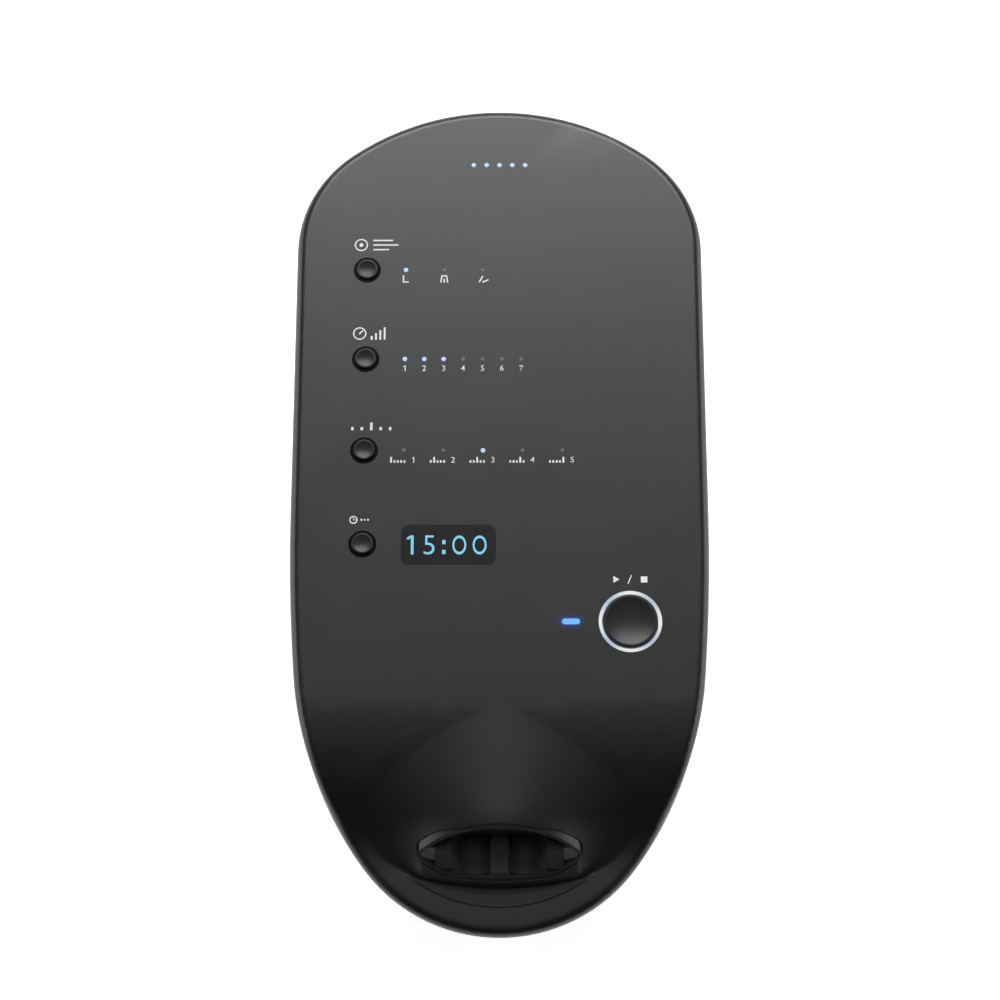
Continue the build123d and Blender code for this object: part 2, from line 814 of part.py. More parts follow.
# ---------------------------------------------------------------- pump
def motor_can():
    can = along_y(0, motor_z, motor_back_y, motor_front_y, motor_radius)
    can = fillet(can.edges().filter_by(GeomType.CIRCLE), 1.0)
    inner = motor_radius - can_wall
    can = can - along_y(0, motor_z, motor_back_y - 1.5, motor_front_y + 1.5, inner)
    boss = along_y(0, motor_z, motor_back_y + 1.5, motor_back_y - 1, bush_radius + 1.2)
    bore = along_y(0, motor_z, motor_back_y + 3, motor_front_y - 3, bush_radius)
    return can + boss - bore


def motor_bushes():
    bushes = []
    for back in (motor_back_y + 1.5, motor_front_y + bush_length):
        bush = along_y(0, motor_z, back, back - bush_length, bush_radius)
        bushes.append(bush - along_y(0, motor_z, back + 1, back - bush_length - 1, shaft_radius + shaft_gap))
    return bushes


def motor_magnets():
    outer = motor_radius - can_wall
    mid = (motor_back_y + motor_front_y) / 2
    ring = along_y(0, motor_z, mid + rotor_length / 2, mid - rotor_length / 2, outer)
    ring = ring - along_y(0, motor_z, mid + 40, mid - 40, outer - magnet_thickness)
    gap = block(-3, 3, mid - 40, mid + 40, motor_z - 40, motor_z + 40)
    return list((ring - gap).solids())


def pump_rotor():
    mid = (motor_back_y + motor_front_y) / 2
    shaft = along_y(0, motor_z, motor_back_y + 1.0, pump_front_y + pump_wall + 1.5, shaft_radius)
    core = along_y(0, motor_z, mid + rotor_length / 2, mid - rotor_length / 2, rotor_radius)
    for i in range(5):
        slot = along_y(0, motor_z + rotor_radius, mid + 40, mid - 40, 1.6)
        turn = Pos(0, 0, motor_z) * Rot(0, 72 * i, 0) * Pos(0, 0, -motor_z)
        core = core - turn * slot
    eccentric_front = pump_front_y + pump_wall + 2.0
    cam = along_y(0, motor_z + eccentric_offset, eccentric_front + eccentric_length, eccentric_front, eccentric_radius)
    weight = along_y(0, motor_z, eccentric_front + eccentric_length + 2.5, eccentric_front + eccentric_length, eccentric_radius + 2)
    weight = weight & block(-20, 20, pump_front_y, pump_back_y, 0, motor_z)
    return shaft + core + cam + weight


def pump_housing():
    half = pump_width / 2
    body = block(-half, half, pump_front_y, pump_back_y, plate_top, pump_top)
    body = fillet(body.edges().filter_by(Axis.Y), 2.0)
    room = block(-half + pump_wall, half - pump_wall, pump_front_y + pump_wall, pump_back_y - pump_wall,
                 plate_top + pump_wall, pump_top + 1)
    body = body - room
    return body - along_y(0, motor_z, pump_back_y + 1, pump_back_y - pump_wall - 1, bush_radius + 0.6)


def connecting_rod():
    """Rod from the eccentric up to the diaphragm; its ring clears the eccentric's whole sweep."""
    front = pump_front_y + pump_wall + 2.2
    back = front + eccentric_length - 0.4
    bore = eccentric_radius + eccentric_offset + 0.3
    ring = along_y(0, motor_z, back, front, bore + 1.8)
    plate_low = pump_top - rod_plate
    stem = block(-rod_width / 2, rod_width / 2, front, back, motor_z + bore, plate_low)
    plate = block(-rod_width, rod_width, front, back, plate_low, pump_top)
    return ring - along_y(0, motor_z, back + 1, front - 1, bore) + stem + plate


def diaphragm():
    half = pump_width / 2
    return block(-half, half, pump_front_y, pump_back_y, pump_top, head_bottom)


def pump_head():
    half = pump_width / 2
    body = block(-half, half, pump_front_y, pump_back_y, head_bottom, head_top)
    body = fillet(body.edges().filter_by(Axis.Z), 1.5)
    chamber = rod(0, pump_mid_y, head_bottom - 1, head_bottom + chamber_height, chamber_radius)
    mid = (head_bottom + head_top) / 2
    for s in (-1, 1):
        nozzle = along_y(s * nozzle_x, mid, pump_front_y + 1, pump_front_y - nozzle_length, tube_bore / 2)
        body = body + nozzle
    return body - chamber


def pump_cap():
    half = pump_width / 2
    cap = block(-half + 2, half - 2, pump_front_y + 1, pump_back_y - 1, head_top, head_top + cap_height)
    return chamfer(cap.edges().group_by(Axis.Z)[-1], 0.8)


def pump_cradle():
    """Plate on the isolators with a saddle under the motor."""
    half = pump_width / 2 + 3
    low = floor_z + isolator_height
    plate = block(-half, half, pump_front_y - 2, motor_back_y - 1, low, plate_top)
    plate = fillet(plate.edges().filter_by(Axis.Z), 3.0)
    saddle = block(-10, 10, motor_front_y + 6, motor_back_y - 6, plate_top - 0.5, motor_z - motor_radius * 0.6)
    plate = plate + saddle - along_y(0, motor_z, motor_back_y + 5, motor_front_y - 5, motor_radius)
    for x, y in isolator_spots():
        plate = plate - rod(x, y, low - 1, plate_top + 1, 1.6)
    return plate


def isolator_spots():
    half = pump_width / 2 - 1
    return [(s * half, y) for y in (pump_front_y + 3, motor_back_y - 6) for s in (-1, 1)]


def pump_isolators():
    mounts = []
    for x, y in isolator_spots():
        body = rod(x, y, floor_z, floor_z + isolator_height, isolator_radius)
        body = fillet(body.edges(), 0.8)
        mounts.append(body + rod(x, y, floor_z + isolator_height - 1, plate_top, 1.6))
    return mounts


def intake_filter():
    body = rod(0, filter_y, floor_z, filter_top, filter_radius)
    cap = rod(0, filter_y, filter_top, filter_top + filter_cap_thickness, filter_radius + filter_cap_thickness)
    return body, cap + rod(0, filter_y, filter_top, filter_top + filter_spout, tube_bore / 2)


def air_tube(points):
    """A hollow tube along straight runs joined by tangent arcs."""
    turns = [Vector(*p) for p in points]
    radii = []
    for i in range(1, len(turns) - 1):
        before = (turns[i] - turns[i - 1]).length
        after = (turns[i + 1] - turns[i]).length
        bend = (turns[i] - turns[i - 1]).get_angle(turns[i + 1] - turns[i])
        radii.append(tube_bend * min(before, after) / math.tan(math.radians(bend / 2)))
    path = FilletPolyline(*points, radius=radii)
    start = Plane(origin=path @ 0, z_dir=path % 0)
    ring = Circle(tube_diameter / 2) - Circle(tube_bore / 2)
    return sweep(start * ring, path=path)


def air_tubes():
    """Intake to pump, pump to manifold, manifold to pressure sensor."""
    nozzle_z = (head_bottom + head_top) / 2
    nozzle_y = pump_front_y - 1
    manifold_y = (manifold_front_y + manifold_back_y) / 2
    spout_z = filter_top + filter_cap_thickness
    sensor_z = board_bottom - sensor_height
    intake = [
        (0, filter_y, spout_z),
        (0, filter_y, spout_z + 16),
        (-nozzle_x, filter_y - 5, nozzle_z - 12),
        (-nozzle_x, filter_y - 5, nozzle_z),
        (-nozzle_x, nozzle_y, nozzle_z),
    ]
    outlet = [
        (nozzle_x, nozzle_y, nozzle_z),
        (nozzle_x, nozzle_y - 22, nozzle_z),
        (0, manifold_y, nozzle_z - 4),
        (0, manifold_y, manifold_bottom),
    ]
    sense = [
        (stub_x, manifold_y, manifold_bottom),
        (stub_x, manifold_y, manifold_bottom - 14),
        (0, sensor_y, manifold_bottom - 14),
        (0, sensor_y, sensor_z),
    ]
    return [air_tube(points) for points in (intake, outlet, sense)]


# ---------------------------------------------------------------- battery and charger jack
def cell_centres():
    low = floor_z + cell_radius + holder_wall
    return [low, low + cell_pitch]


def battery_cells():
    cells = []
    for z in cell_centres():
        cell = Cylinder(cell_radius, cell_length)
        cell = fillet(cell.edges(), 0.8)
        tip = Pos(0, 0, cell_length / 2) * Cylinder(2.8, 2.0)
        cells.append(Pos(0, cell_y, z) * Rot(0, 90, 0) * (cell + tip))
    return cells


def battery_holder():
    half_x = cell_length / 2 + holder_wall + 1.2
    half_y = cell_radius + holder_wall
    top = cell_centres()[1]
    body = block(-half_x, half_x, cell_y - half_y, cell_y + half_y, floor_z, top)
    body = fillet(body.edges().filter_by(Axis.Z), 1.5)
    room = half_x - holder_wall
    for z in cell_centres():
        body = body - Pos(0, cell_y, z) * Rot(0, 90, 0) * Cylinder(cell_radius + 0.05, 2 * room)
    neck = block(-room, room, cell_y - cell_radius * 0.6, cell_y + cell_radius * 0.6, cell_centres()[0], top + 1)
    return body - neck


def jack_wall_y():
    return half_length - (split_z - jack_z) * slope


def jack_hole():
    return along_y(0, jack_z, half_length, jack_wall_y() - 6, jack_diameter / 2)


def dc_jack():
    front = jack_wall_y() - jack_recess
    nose = along_y(0, jack_z, front, front - 4, jack_diameter / 2)
    shoulder = jack_wall_y() - wall - jack_shoulder
    half_x = jack_width / 2
    half_z = jack_height / 2
    body = block(-half_x, half_x, shoulder - jack_length, shoulder, jack_z - half_z, jack_z + half_z)
    jack = nose + body - along_y(0, jack_z, front + 1, front - jack_hole_depth, jack_bore / 2)
    return jack + along_y(0, jack_z, front - 0.8, front - jack_hole_depth - 0.5, jack_pin_diameter / 2)


def jack_bracket():
    back = jack_wall_y() - wall - jack_shoulder
    front = back - jack_length
    half_x = jack_width / 2
    outer = half_x + bracket_wall
    seat = jack_z - jack_height / 2
    bracket = block(-outer, outer, front, back - 2, floor_z, jack_z + 2)
    bracket = bracket - block(-half_x, half_x, front - 1, back, seat, jack_z + jack_height)
    return bracket & tapered(wall, floor_z, split_z)


# ---------------------------------------------------------------- write the pieces
def build():
    os.makedirs("parts", exist_ok=True)
    pieces = {
        "front_shell": front_shell(),
        "rear_shell": rear_shell(),
        "case_seal": case_seal(),
        "rubber_feet": [foot(x, y) for x, y in foot_spots()],
        "case_screws": case_screws(),
        "board_screws": board_screws(),
        "socket_screws": socket_screws(),
        "hose_socket": hose_socket(),
        "port_seals": port_seals(),
        "valve_manifold": valve_manifold(),
        "solenoid_valves": solenoid_valves(),
        "button_bezels": button_bezels(),
        "start_cap": start_cap(),
        "start_plunger": plunger(start_x, start_y, start_travel),
        "start_ring": start_ring(),
        "switch_bodies": switch_bodies(),
        "status_light": status_light(),
        "indicator_leds": indicator_leds(),
        "display_window": display_window(),
        "display_module": display_module(),
        "main_board": main_board(),
        "buzzer": buzzer(),
        "pressure_sensor": pressure_sensor(),
        "motor_can": motor_can(),
        "motor_bushes": motor_bushes(),
        "motor_magnets": motor_magnets(),
        "pump_rotor": pump_rotor(),
        "pump_housing": pump_housing(),
        "connecting_rod": connecting_rod(),
        "diaphragm": diaphragm(),
        "pump_head": pump_head(),
        "pump_cap": pump_cap(),
        "pump_cradle": pump_cradle(),
        "pump_isolators": pump_isolators(),
        "battery_cells": battery_cells(),
        "battery_holder": battery_holder(),
        "air_tubes": air_tubes(),
        "dc_jack": dc_jack(),
        "jack_bracket": jack_bracket(),
    }
    pieces["intake_filter"], pieces["filter_cap"] = intake_filter()
    for name, spots in light_spots().items():
        pieces[name] = light_row(spots)
    for name, y in zip(("attachment", "pressure", "zone", "time"), button_rows):
        pieces[f"{name}_cap"] = small_cap(y)
        pieces[f"{name}_plunger"] = plunger(button_column, y, button_travel)
    for name, shape in pieces.items():
        save(Compound(children=shape) if isinstance(shape, list) else shape, name)


build()
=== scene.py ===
import math

import bpy
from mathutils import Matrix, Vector


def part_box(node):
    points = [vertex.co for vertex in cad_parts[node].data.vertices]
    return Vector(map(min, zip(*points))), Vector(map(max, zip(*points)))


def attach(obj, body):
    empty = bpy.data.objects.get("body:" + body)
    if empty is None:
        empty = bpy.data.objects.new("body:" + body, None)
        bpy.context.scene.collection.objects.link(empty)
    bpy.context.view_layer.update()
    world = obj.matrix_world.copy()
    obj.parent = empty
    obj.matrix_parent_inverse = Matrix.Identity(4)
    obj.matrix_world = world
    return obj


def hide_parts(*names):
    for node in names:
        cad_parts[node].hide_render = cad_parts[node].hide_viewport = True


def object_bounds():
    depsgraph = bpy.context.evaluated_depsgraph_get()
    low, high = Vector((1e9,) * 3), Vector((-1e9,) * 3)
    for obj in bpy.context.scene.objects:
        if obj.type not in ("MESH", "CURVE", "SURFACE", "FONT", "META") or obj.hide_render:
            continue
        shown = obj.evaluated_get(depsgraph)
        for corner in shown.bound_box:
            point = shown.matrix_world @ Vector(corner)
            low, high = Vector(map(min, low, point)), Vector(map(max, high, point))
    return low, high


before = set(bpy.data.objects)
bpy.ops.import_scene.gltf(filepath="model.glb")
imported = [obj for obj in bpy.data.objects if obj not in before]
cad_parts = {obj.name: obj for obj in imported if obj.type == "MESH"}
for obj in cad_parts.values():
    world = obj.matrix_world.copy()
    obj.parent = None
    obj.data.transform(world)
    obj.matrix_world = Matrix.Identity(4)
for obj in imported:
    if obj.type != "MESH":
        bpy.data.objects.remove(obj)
cad_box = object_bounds()

bl_info = {
    "name": "Compression pump dressing",
    "version": (1, 0, 0),
    "blender": (4, 5, 0),
    "location": "View3D > Sidebar > Pump",
    "description": "Finishes, printed marks, display and studio for a compression therapy pump",
    "category": "Object",
}

MM = 0.001
FACE_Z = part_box("display_window")[1].z
RAIL_END = 1.2 * MM  # from a row's first or last dot to the end of its light guide
STATUS_FOOT = 0.8 * MM  # how far the status light's foot stands out all round, under the face
BUTTONS = ("attachment", "pressure", "zone", "time")
SHELLS = ("front_shell", "rear_shell")
RUBBER_NODES = ("port_seals", "rubber_feet", "case_seal", "diaphragm", "pump_isolators")
LIGHT_ROWS = {"battery": 5, "attachment": 3, "pressure": 7, "zone": 5}
LIT = {"battery": (0, 1, 2, 3, 4), "attachment": (0,), "pressure": (0, 1, 2), "zone": (2,)}


# ---------------------------------------------------------------- places taken from the frame
def spaced(start, end, count):
    """Numbers from start to end, in a count of equal steps."""
    return [start + (end - start) * i / count for i in range(count + 1)]


def middle(node):
    """The middle of a CAD node's box."""
    low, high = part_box(node)
    return (low + high) / 2


def row_dots(row):
    """Places of a row's dots, spread evenly along the row's light guide."""
    low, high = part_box(f"{row}_lights")
    xs = spaced(low.x + RAIL_END, high.x - RAIL_END, LIGHT_ROWS[row] - 1)
    return [(x, (low.y + high.y) / 2) for x in xs]


# ---------------------------------------------------------------- settings
def colour(name, description, value):
    return bpy.props.FloatVectorProperty(
        name=name, description=description, default=value, size=3, min=0, max=1, subtype="COLOR"
    )


def length(name, description, value):
    """A length, given in millimetres."""
    return bpy.props.FloatProperty(name=name, description=description, default=value * MM, unit="LENGTH")


def number(name, description, value, unit="NONE"):
    return bpy.props.FloatProperty(name=name, description=description, default=value, unit=unit)


class PumpFinish(bpy.types.PropertyGroup):
    shell: colour("Housing", "Colour of the moulded shells", (0.0060, 0.0060, 0.0064))
    socket: colour("Hose socket", "Colour of the socket insert", (0.0050, 0.0050, 0.0054))
    cap: colour("Button caps", "Colour of the dished caps", (0.0100, 0.0115, 0.0130))
    rubber: colour("Rubber", "Colour of the feet and seals", (0.0080, 0.0080, 0.0080))
    printing: colour("Printing", "Colour of the printed marks", (0.76, 0.76, 0.76))
    lit: colour("Lit dots", "Colour of the lit dots", (0.42, 0.60, 0.95))
    unlit: colour("Unlit dots", "Colour of the dots that are off", (0.085, 0.085, 0.088))
    digits: colour("Digits", "Colour of the timer digits", (0.19, 0.60, 0.84))
    status: colour("Status light", "Colour of the status bar", (0.125, 0.46, 1.0))
    grain: length("Grain", "Distance between the bumps of the moulded grain", 0.45)
    roughness: number("Roughness", "How matt the moulded shells are", 0.33)


class PumpMarks(bpy.types.PropertyGroup):
    thickness: length("Ink thickness", "How far the printing stands over the face", 0.02)
    label_height: length("Label height", "Height of the figures under the dots", 1.55)
    label_drop: length("Label drop", "Distance from a dot to the middle of its label", 2.55)
    digit_height: length("Digit height", "Height of the timer digits", 5.0)
    sign_height: length("Sign height", "Height of the signs over the buttons", 2.1)
    lit_radius: length("Lit dot radius", "Radius of a lit dot's lens", 0.6)
    unlit_radius: length("Unlit dot radius", "Radius of an unlit dot's lens", 0.48)


class PumpStage(bpy.types.PropertyGroup):
    lens: number("Lens", "Focal length in millimetres", 90.0, "CAMERA")
    shift: number("Shift", "Sideways shift of the view, as a share of its width", 0.0005)
    tilt: number("Tilt", "Angle from straight down to the camera's line", math.radians(18.53), "ROTATION")
    camera_y: length("Camera Y", "Camera place along the pump", -202.2)
    camera_z: length("Camera height", "Camera height over the table", 697.6)
    floor: length("Floor size", "Width of the floor", 8000.0)


# ---------------------------------------------------------------- shader nodes
def feed(tree, target, source):
    """Links an input to a source socket, or sets it to a plain value."""
    if isinstance(source, bpy.types.NodeSocket):
        tree.links.new(source, target)
    else:
        target.default_value = source


def add(tree, kind, **values):
    """A node whose own settings and input sockets are given by name."""
    node = tree.nodes.new(kind)
    for key, value in values.items():
        if hasattr(node, key):
            setattr(node, key, value)
        else:
            feed(tree, node.inputs[key.replace("_", " ")], value)
    return node


def work_out(tree, operation, *sources, **settings):
    """The result of a Math node on sockets and plain numbers."""
    node = add(tree, "ShaderNodeMath", operation=operation, **settings)
    for target, source in zip(node.inputs, sources):
        feed(tree, target, source)
    return node.outputs[0]


def new_group(name, inputs, outputs):
    """An empty node group, and the two nodes that hold its inputs and outputs."""
    tree = bpy.data.node_groups.new(name, "ShaderNodeTree")
    for title, kind, value in inputs:
        made = tree.interface.new_socket(name=title, in_out="INPUT", socket_type=kind)
        made.default_value = value
    for title, kind in outputs:
        tree.interface.new_socket(name=title, in_out="OUTPUT", socket_type=kind)
    return tree, tree.nodes.new("NodeGroupInput").outputs, tree.nodes.new("NodeGroupOutput").inputs


def grain_group():
    """Moulded grain: fine bumps, slow waves in the gloss and faint clouds in the colour."""
    tree, given, out = new_group(
        "Moulded grain",
        [
            ("Color", "NodeSocketColor", (0.01, 0.01, 0.01, 1)),
            ("Pitch", "NodeSocketFloat", 0.4 * MM),
            ("Depth", "NodeSocketFloat", 0.02 * MM),
            ("Roughness", "NodeSocketFloat", 0.4),
            ("Spread", "NodeSocketFloat", 0.06),
        ],
        [("Color", "NodeSocketColor"), ("Roughness", "NodeSocketFloat"), ("Normal", "NodeSocketVector")],
    )
    place = add(tree, "ShaderNodeTexCoord").outputs["Object"]
    bumps_per_metre = work_out(tree, "DIVIDE", 1.0, given["Pitch"])
    fine = add(tree, "ShaderNodeTexNoise", Vector=place, Scale=bumps_per_metre, Detail=2.0, Roughness=0.55)
    slow = add(tree, "ShaderNodeTexNoise", Vector=place, Scale=55.0, Detail=4.0, Roughness=0.6)
    bump = add(tree, "ShaderNodeBump", Strength=0.55, Distance=given["Depth"], Height=fine.outputs["Fac"])
    wave = work_out(tree, "SUBTRACT", slow.outputs["Fac"], 0.5)
    gloss = work_out(tree, "MULTIPLY_ADD", wave, given["Spread"], given["Roughness"])
    cloud = work_out(tree, "MULTIPLY_ADD", wave, 0.5, 1.0)
    tint = add(tree, "ShaderNodeVectorMath", operation="SCALE", Vector=given["Color"], Scale=cloud)
    feed(tree, out["Color"], tint.outputs[0])
    feed(tree, out["Roughness"], gloss)
    feed(tree, out["Normal"], bump.outputs["Normal"])


def spill_group():
    """Mask of a glow painted on the face round a bar in it: 1 at the bar's edge, 0 further out."""
    tree, given, out = new_group(
        "Painted light spill",
        [
            ("Centre", "NodeSocketVector", (0.0, 0.0, 0.0)),
            ("Half length", "NodeSocketFloat", 1 * MM),
            ("Radius", "NodeSocketFloat", 1 * MM),
            ("Reach", "NodeSocketFloat", 1 * MM),
        ],
        [("Mask", "NodeSocketFloat")],
    )
    place = add(tree, "ShaderNodeTexCoord").outputs["Object"]
    offset = add(tree, "ShaderNodeVectorMath", operation="SUBTRACT", Vector=place)
    feed(tree, offset.inputs[1], given["Centre"])
    parts = add(tree, "ShaderNodeSeparateXYZ", Vector=offset.outputs[0]).outputs
    past_end = work_out(tree, "SUBTRACT", work_out(tree, "ABSOLUTE", parts["X"]), given["Half length"])
    along = work_out(tree, "MAXIMUM", past_end, 0.0)
    nearest = add(tree, "ShaderNodeCombineXYZ", X=along, Y=parts["Y"], Z=parts["Z"]).outputs[0]
    distance = add(tree, "ShaderNodeVectorMath", operation="LENGTH", Vector=nearest).outputs["Value"]
    gap = work_out(tree, "MAXIMUM", work_out(tree, "SUBTRACT", distance, given["Radius"]), 0.0)
    share = work_out(tree, "DIVIDE", gap, given["Reach"])
    left_over = work_out(tree, "SUBTRACT", 1.0, share, use_clamp=True)
    feed(tree, out["Mask"], work_out(tree, "POWER", left_over, 2.2))


# ---------------------------------------------------------------- materials
SMOOTH = {"pitch": 0.2 * MM, "depth": 0.004 * MM}
STATUS_PAINTED_SPILLS = (  # reach, colour and strength of the glow painted on the face beside the status bar
    (1.5 * MM, (0.09, 0.07, 0.85), 0.16),
    (3.2 * MM, (0.1, 0.1, 0.9), 0.03),
)
INNER_FINISHES = {  # colour, roughness and other values of the grain, then the nodes
    "natural_plastic": ((0.5, 0.5, 0.48), 0.5, {}, (
        "valve_manifold", "pump_housing", "connecting_rod", "pump_head", "pump_cap", "pump_cradle",
        "filter_cap", "battery_holder", "jack_bracket", "start_plunger",
        *(f"{button}_plunger" for button in BUTTONS),
    )),
    "black_plastic": ((0.01, 0.01, 0.01), 0.4, {}, ("switch_bodies", "buzzer", "pressure_sensor", "dc_jack")),
    "plated_steel": (
        (0.55, 0.55, 0.56), 0.32, {"pitch": 0.8 * MM, "depth": 0.006 * MM, "metallic": 1.0},
        ("case_screws", "board_screws", "socket_screws", "solenoid_valves", "motor_can", "pump_rotor"),
    ),
    "sintered_bronze": ((0.6, 0.42, 0.2), 0.45, {"metallic": 1.0}, ("motor_bushes",)),
    "ferrite": ((0.03, 0.028, 0.028), 0.7, {}, ("motor_magnets",)),
    "felt": ((0.6, 0.6, 0.57), 0.95, {"pitch": 0.2 * MM, "depth": 0.2 * MM}, ("intake_filter",)),
    "soft_tube": ((0.6, 0.6, 0.58), 0.35, {}, ("air_tubes",)),
    "shrink_sleeve": ((0.02, 0.12, 0.3), 0.3, {}, ("battery_cells",)),
    "solder_mask": ((0.005, 0.06, 0.025), 0.35, {"pitch": 2 * MM}, ("main_board",)),
    "led_chip": ((0.7, 0.68, 0.5), 0.5, {}, ("indicator_leds",)),
    "module_plastic": ((0.01, 0.01, 0.01), 0.5, {}, ("display_module",)),
}


def material(name):
    """A new material, its node tree and its Principled BSDF."""
    made = bpy.data.materials.new(name)
    made.use_nodes = True
    return made, made.node_tree, made.node_tree.nodes["Principled BSDF"]


def moulded(name, tint, roughness, pitch=0.45 * MM, depth=0.02 * MM, spread=0.06, metallic=0.0, specular=0.5):
    """Moulded, cast or rubber surface with grain from the shared group."""
    made, tree, shader = material(name)
    grain = add(
        tree, "ShaderNodeGroup", node_tree=bpy.data.node_groups["Moulded grain"],
        Color=(*tint, 1), Pitch=pitch, Depth=depth, Roughness=roughness, Spread=spread,
    ).outputs
    feed(tree, shader.inputs["Base Color"], grain["Color"])
    feed(tree, shader.inputs["Roughness"], grain["Roughness"])
    feed(tree, shader.inputs["Normal"], grain["Normal"])
    shader.inputs["Metallic"].default_value = metallic
    shader.inputs["Specular IOR Level"].default_value = specular
    return made


def glowing(name, tint):
    """A lit light guide: a smooth dark skin over an even glow."""
    made = moulded(name, (0.02, 0.02, 0.02), 0.3, **SMOOTH)
    shader = made.node_tree.nodes["Principled BSDF"]
    shader.inputs["Emission Color"].default_value = (*tint, 1)
    shader.inputs["Emission Strength"].default_value = 1.0
    return made


def add_spill(made, centre, half_length, radius, reach, tint, strength):
    """Paints a light's spill as a glow into the emission of the housing's material."""
    tree = made.node_tree
    shader = tree.nodes["Principled BSDF"]
    mask = add(
        tree, "ShaderNodeGroup", node_tree=bpy.data.node_groups["Painted light spill"],
        Centre=centre, Half_length=half_length, Radius=radius, Reach=reach,
    ).outputs["Mask"]
    # painted light: the glow is added to the housing's own emission, not cast by a lamp
    glow = [channel * strength for channel in tint]
    paint = add(tree, "ShaderNodeVectorMath", operation="SCALE", Vector=glow, Scale=mask)
    total = add(tree, "ShaderNodeVectorMath", operation="ADD", Vector=paint.outputs[0])
    for before in shader.inputs["Emission Color"].links:
        feed(tree, total.inputs[1], before.from_socket)
    feed(tree, shader.inputs["Emission Color"], total.outputs[0])
    shader.inputs["Emission Strength"].default_value = 1.0


def finish(node, made):
    """Gives a CAD node its material."""
    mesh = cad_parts[node].data
    mesh.materials.clear()
    mesh.materials.append(made)


# ---------------------------------------------------------------- modelling helpers
def deselect():
    if bpy.context.object and bpy.context.object.mode != "OBJECT":
        bpy.ops.object.mode_set(mode="OBJECT")
    bpy.ops.object.select_all(action="DESELECT")


def take(piece):
    """Selects one piece alone and makes it the active one."""
    deselect()
    piece.select_set(True)
    bpy.context.view_layer.objects.active = piece


def open_mesh(piece):
    """Takes a piece into edit mode with all of it selected."""
    take(piece)
    bpy.ops.object.mode_set(mode="EDIT")
    bpy.ops.mesh.select_all(action="SELECT")


def close_mesh():
    bpy.ops.object.mode_set(mode="OBJECT")


def settle(piece, name, body, made):
    """Applies a piece's place, names it, gives it its material and lets it ride."""
    take(piece)
    bpy.ops.object.transform_apply(location=True, rotation=True, scale=True)
    piece.name = name
    piece.data.name = name
    piece.data.materials.clear()
    piece.data.materials.append(made)
    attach(piece, body)


def join(pieces):
    """Joins pieces into one mesh, whose place is applied."""
    take(pieces[0])
    for piece in pieces:
        piece.select_set(True)
    bpy.ops.object.join()
    bpy.ops.object.transform_apply(location=True, rotation=True, scale=True)
    return bpy.context.object


def thicken(piece, height):
    """Extrudes a flat piece upwards."""
    open_mesh(piece)
    bpy.ops.mesh.extrude_region_move(TRANSFORM_OT_translate={"value": (0, 0, height)})
    bpy.ops.mesh.select_all(action="SELECT")
    bpy.ops.mesh.normals_make_consistent(inside=False)
    close_mesh()


def flat_bar(x, y, width, height, turn=0.0):
    """A flat rectangle of printing, given by its middle, size and turn in degrees."""
    deselect()
    bpy.ops.mesh.primitive_plane_add(size=1, location=(x, y, FACE_Z), rotation=(0, 0, math.radians(turn)))
    piece = bpy.context.object
    piece.scale = (width, height, 1)
    return piece


def flat_disc(x, y, radius, sides=28, turn=0.0):
    """A flat disc, or a polygon with fewer sides."""
    deselect()
    place = {"location": (x, y, FACE_Z), "rotation": (0, 0, math.radians(turn))}
    bpy.ops.mesh.primitive_circle_add(vertices=sides, radius=radius, fill_type="NGON", **place)
    return bpy.context.object


def flat_hoop(x, y, radius, stroke):
    """A flat ring: a disc whose middle is inset and removed."""
    piece = flat_disc(x, y, radius, 36)
    open_mesh(piece)
    bpy.ops.mesh.inset(thickness=stroke)
    bpy.ops.mesh.delete(type="FACE")
    close_mesh()
    return piece


# ---------------------------------------------------------------- hood and hose mouth, in millimetres
TOP = FACE_Z / MM
NOSE = -cad_box[1].y / MM  # tip of the hose end, as far from the middle as the far end is
OUTSIDE = NOSE - 11.1  # a cut from here starts well clear of the shell
ABOVE = TOP + 9.0  # and one that ends here goes well over it
RAMP_Y = NOSE + 56.6  # where the face starts to fall
RAMP_LENGTH, RAMP_DROP = 41.0, 14.7
RAMP_SHARE = 0.70  # share of the ramp's length that is convex
CHIN = TOP - RAMP_DROP

HOOD_MIDDLE = NOSE + 28.9  # where the hood is widest
HOOD_BACK, HOOD_FRONT, HOOD_HALF = 27.7, 18.0, 36.0  # its reach backwards, forwards and to each side
BACK_POWERS = (1.5, 0.9)  # how the hood's plan is drawn in to a point at its back
FLANK_POWERS = (2.0, 2.2)  # how its height falls from the middle to its sides
FRONT_LEAD, MIDDLE_LEAD = 0.6, 1.8  # its front stands over the mouth's face, and more so in the middle
FRONT_SOFTNESS = 0.6  # rounding where its front meets the ramp
EDGE_POWER = 10  # the higher, the sharper the edge between its back and its front

MOUTH_Y = NOSE + 12.1  # foot of the mouth's face in the middle
MOUTH_PLAN = 95.2  # radius of that face in plan
MOUTH_RISE = math.tan(math.radians(47.5))  # and how steeply it leans back
MOUTH_TURN = 40  # degrees that its cut reaches to each side
END_WALL = NOSE + 23.9  # front of the wall with the ports

ROOF_DROP = 0.6  # the top of the eye-shaped mouth under the face
CORNER_X, CORNER_DROP, CORNER_RADIUS = 21.7, 10.2, 1.75  # its two corners: place and rounding
SILL_X, SILL_DROP, SILL_RADIUS = 13.0, 13.6, 12.0  # the ends of its level sill: place and rounding
ROOF_END = 2.7  # length of the roof that each rounded corner takes up

SCOOP_X, SCOOP_FRONT, SCOOP_DEPTH = 22.3, 7.5, 2.2  # the crescent hollow in the chin
SCOOP_FLOOR = 110.0  # radius of its floor across the pump
FLARE, FLARE_FOOT, FLARE_TOP = 1.6, 0.4, 1.2  # its wall leans out round the level of the chin

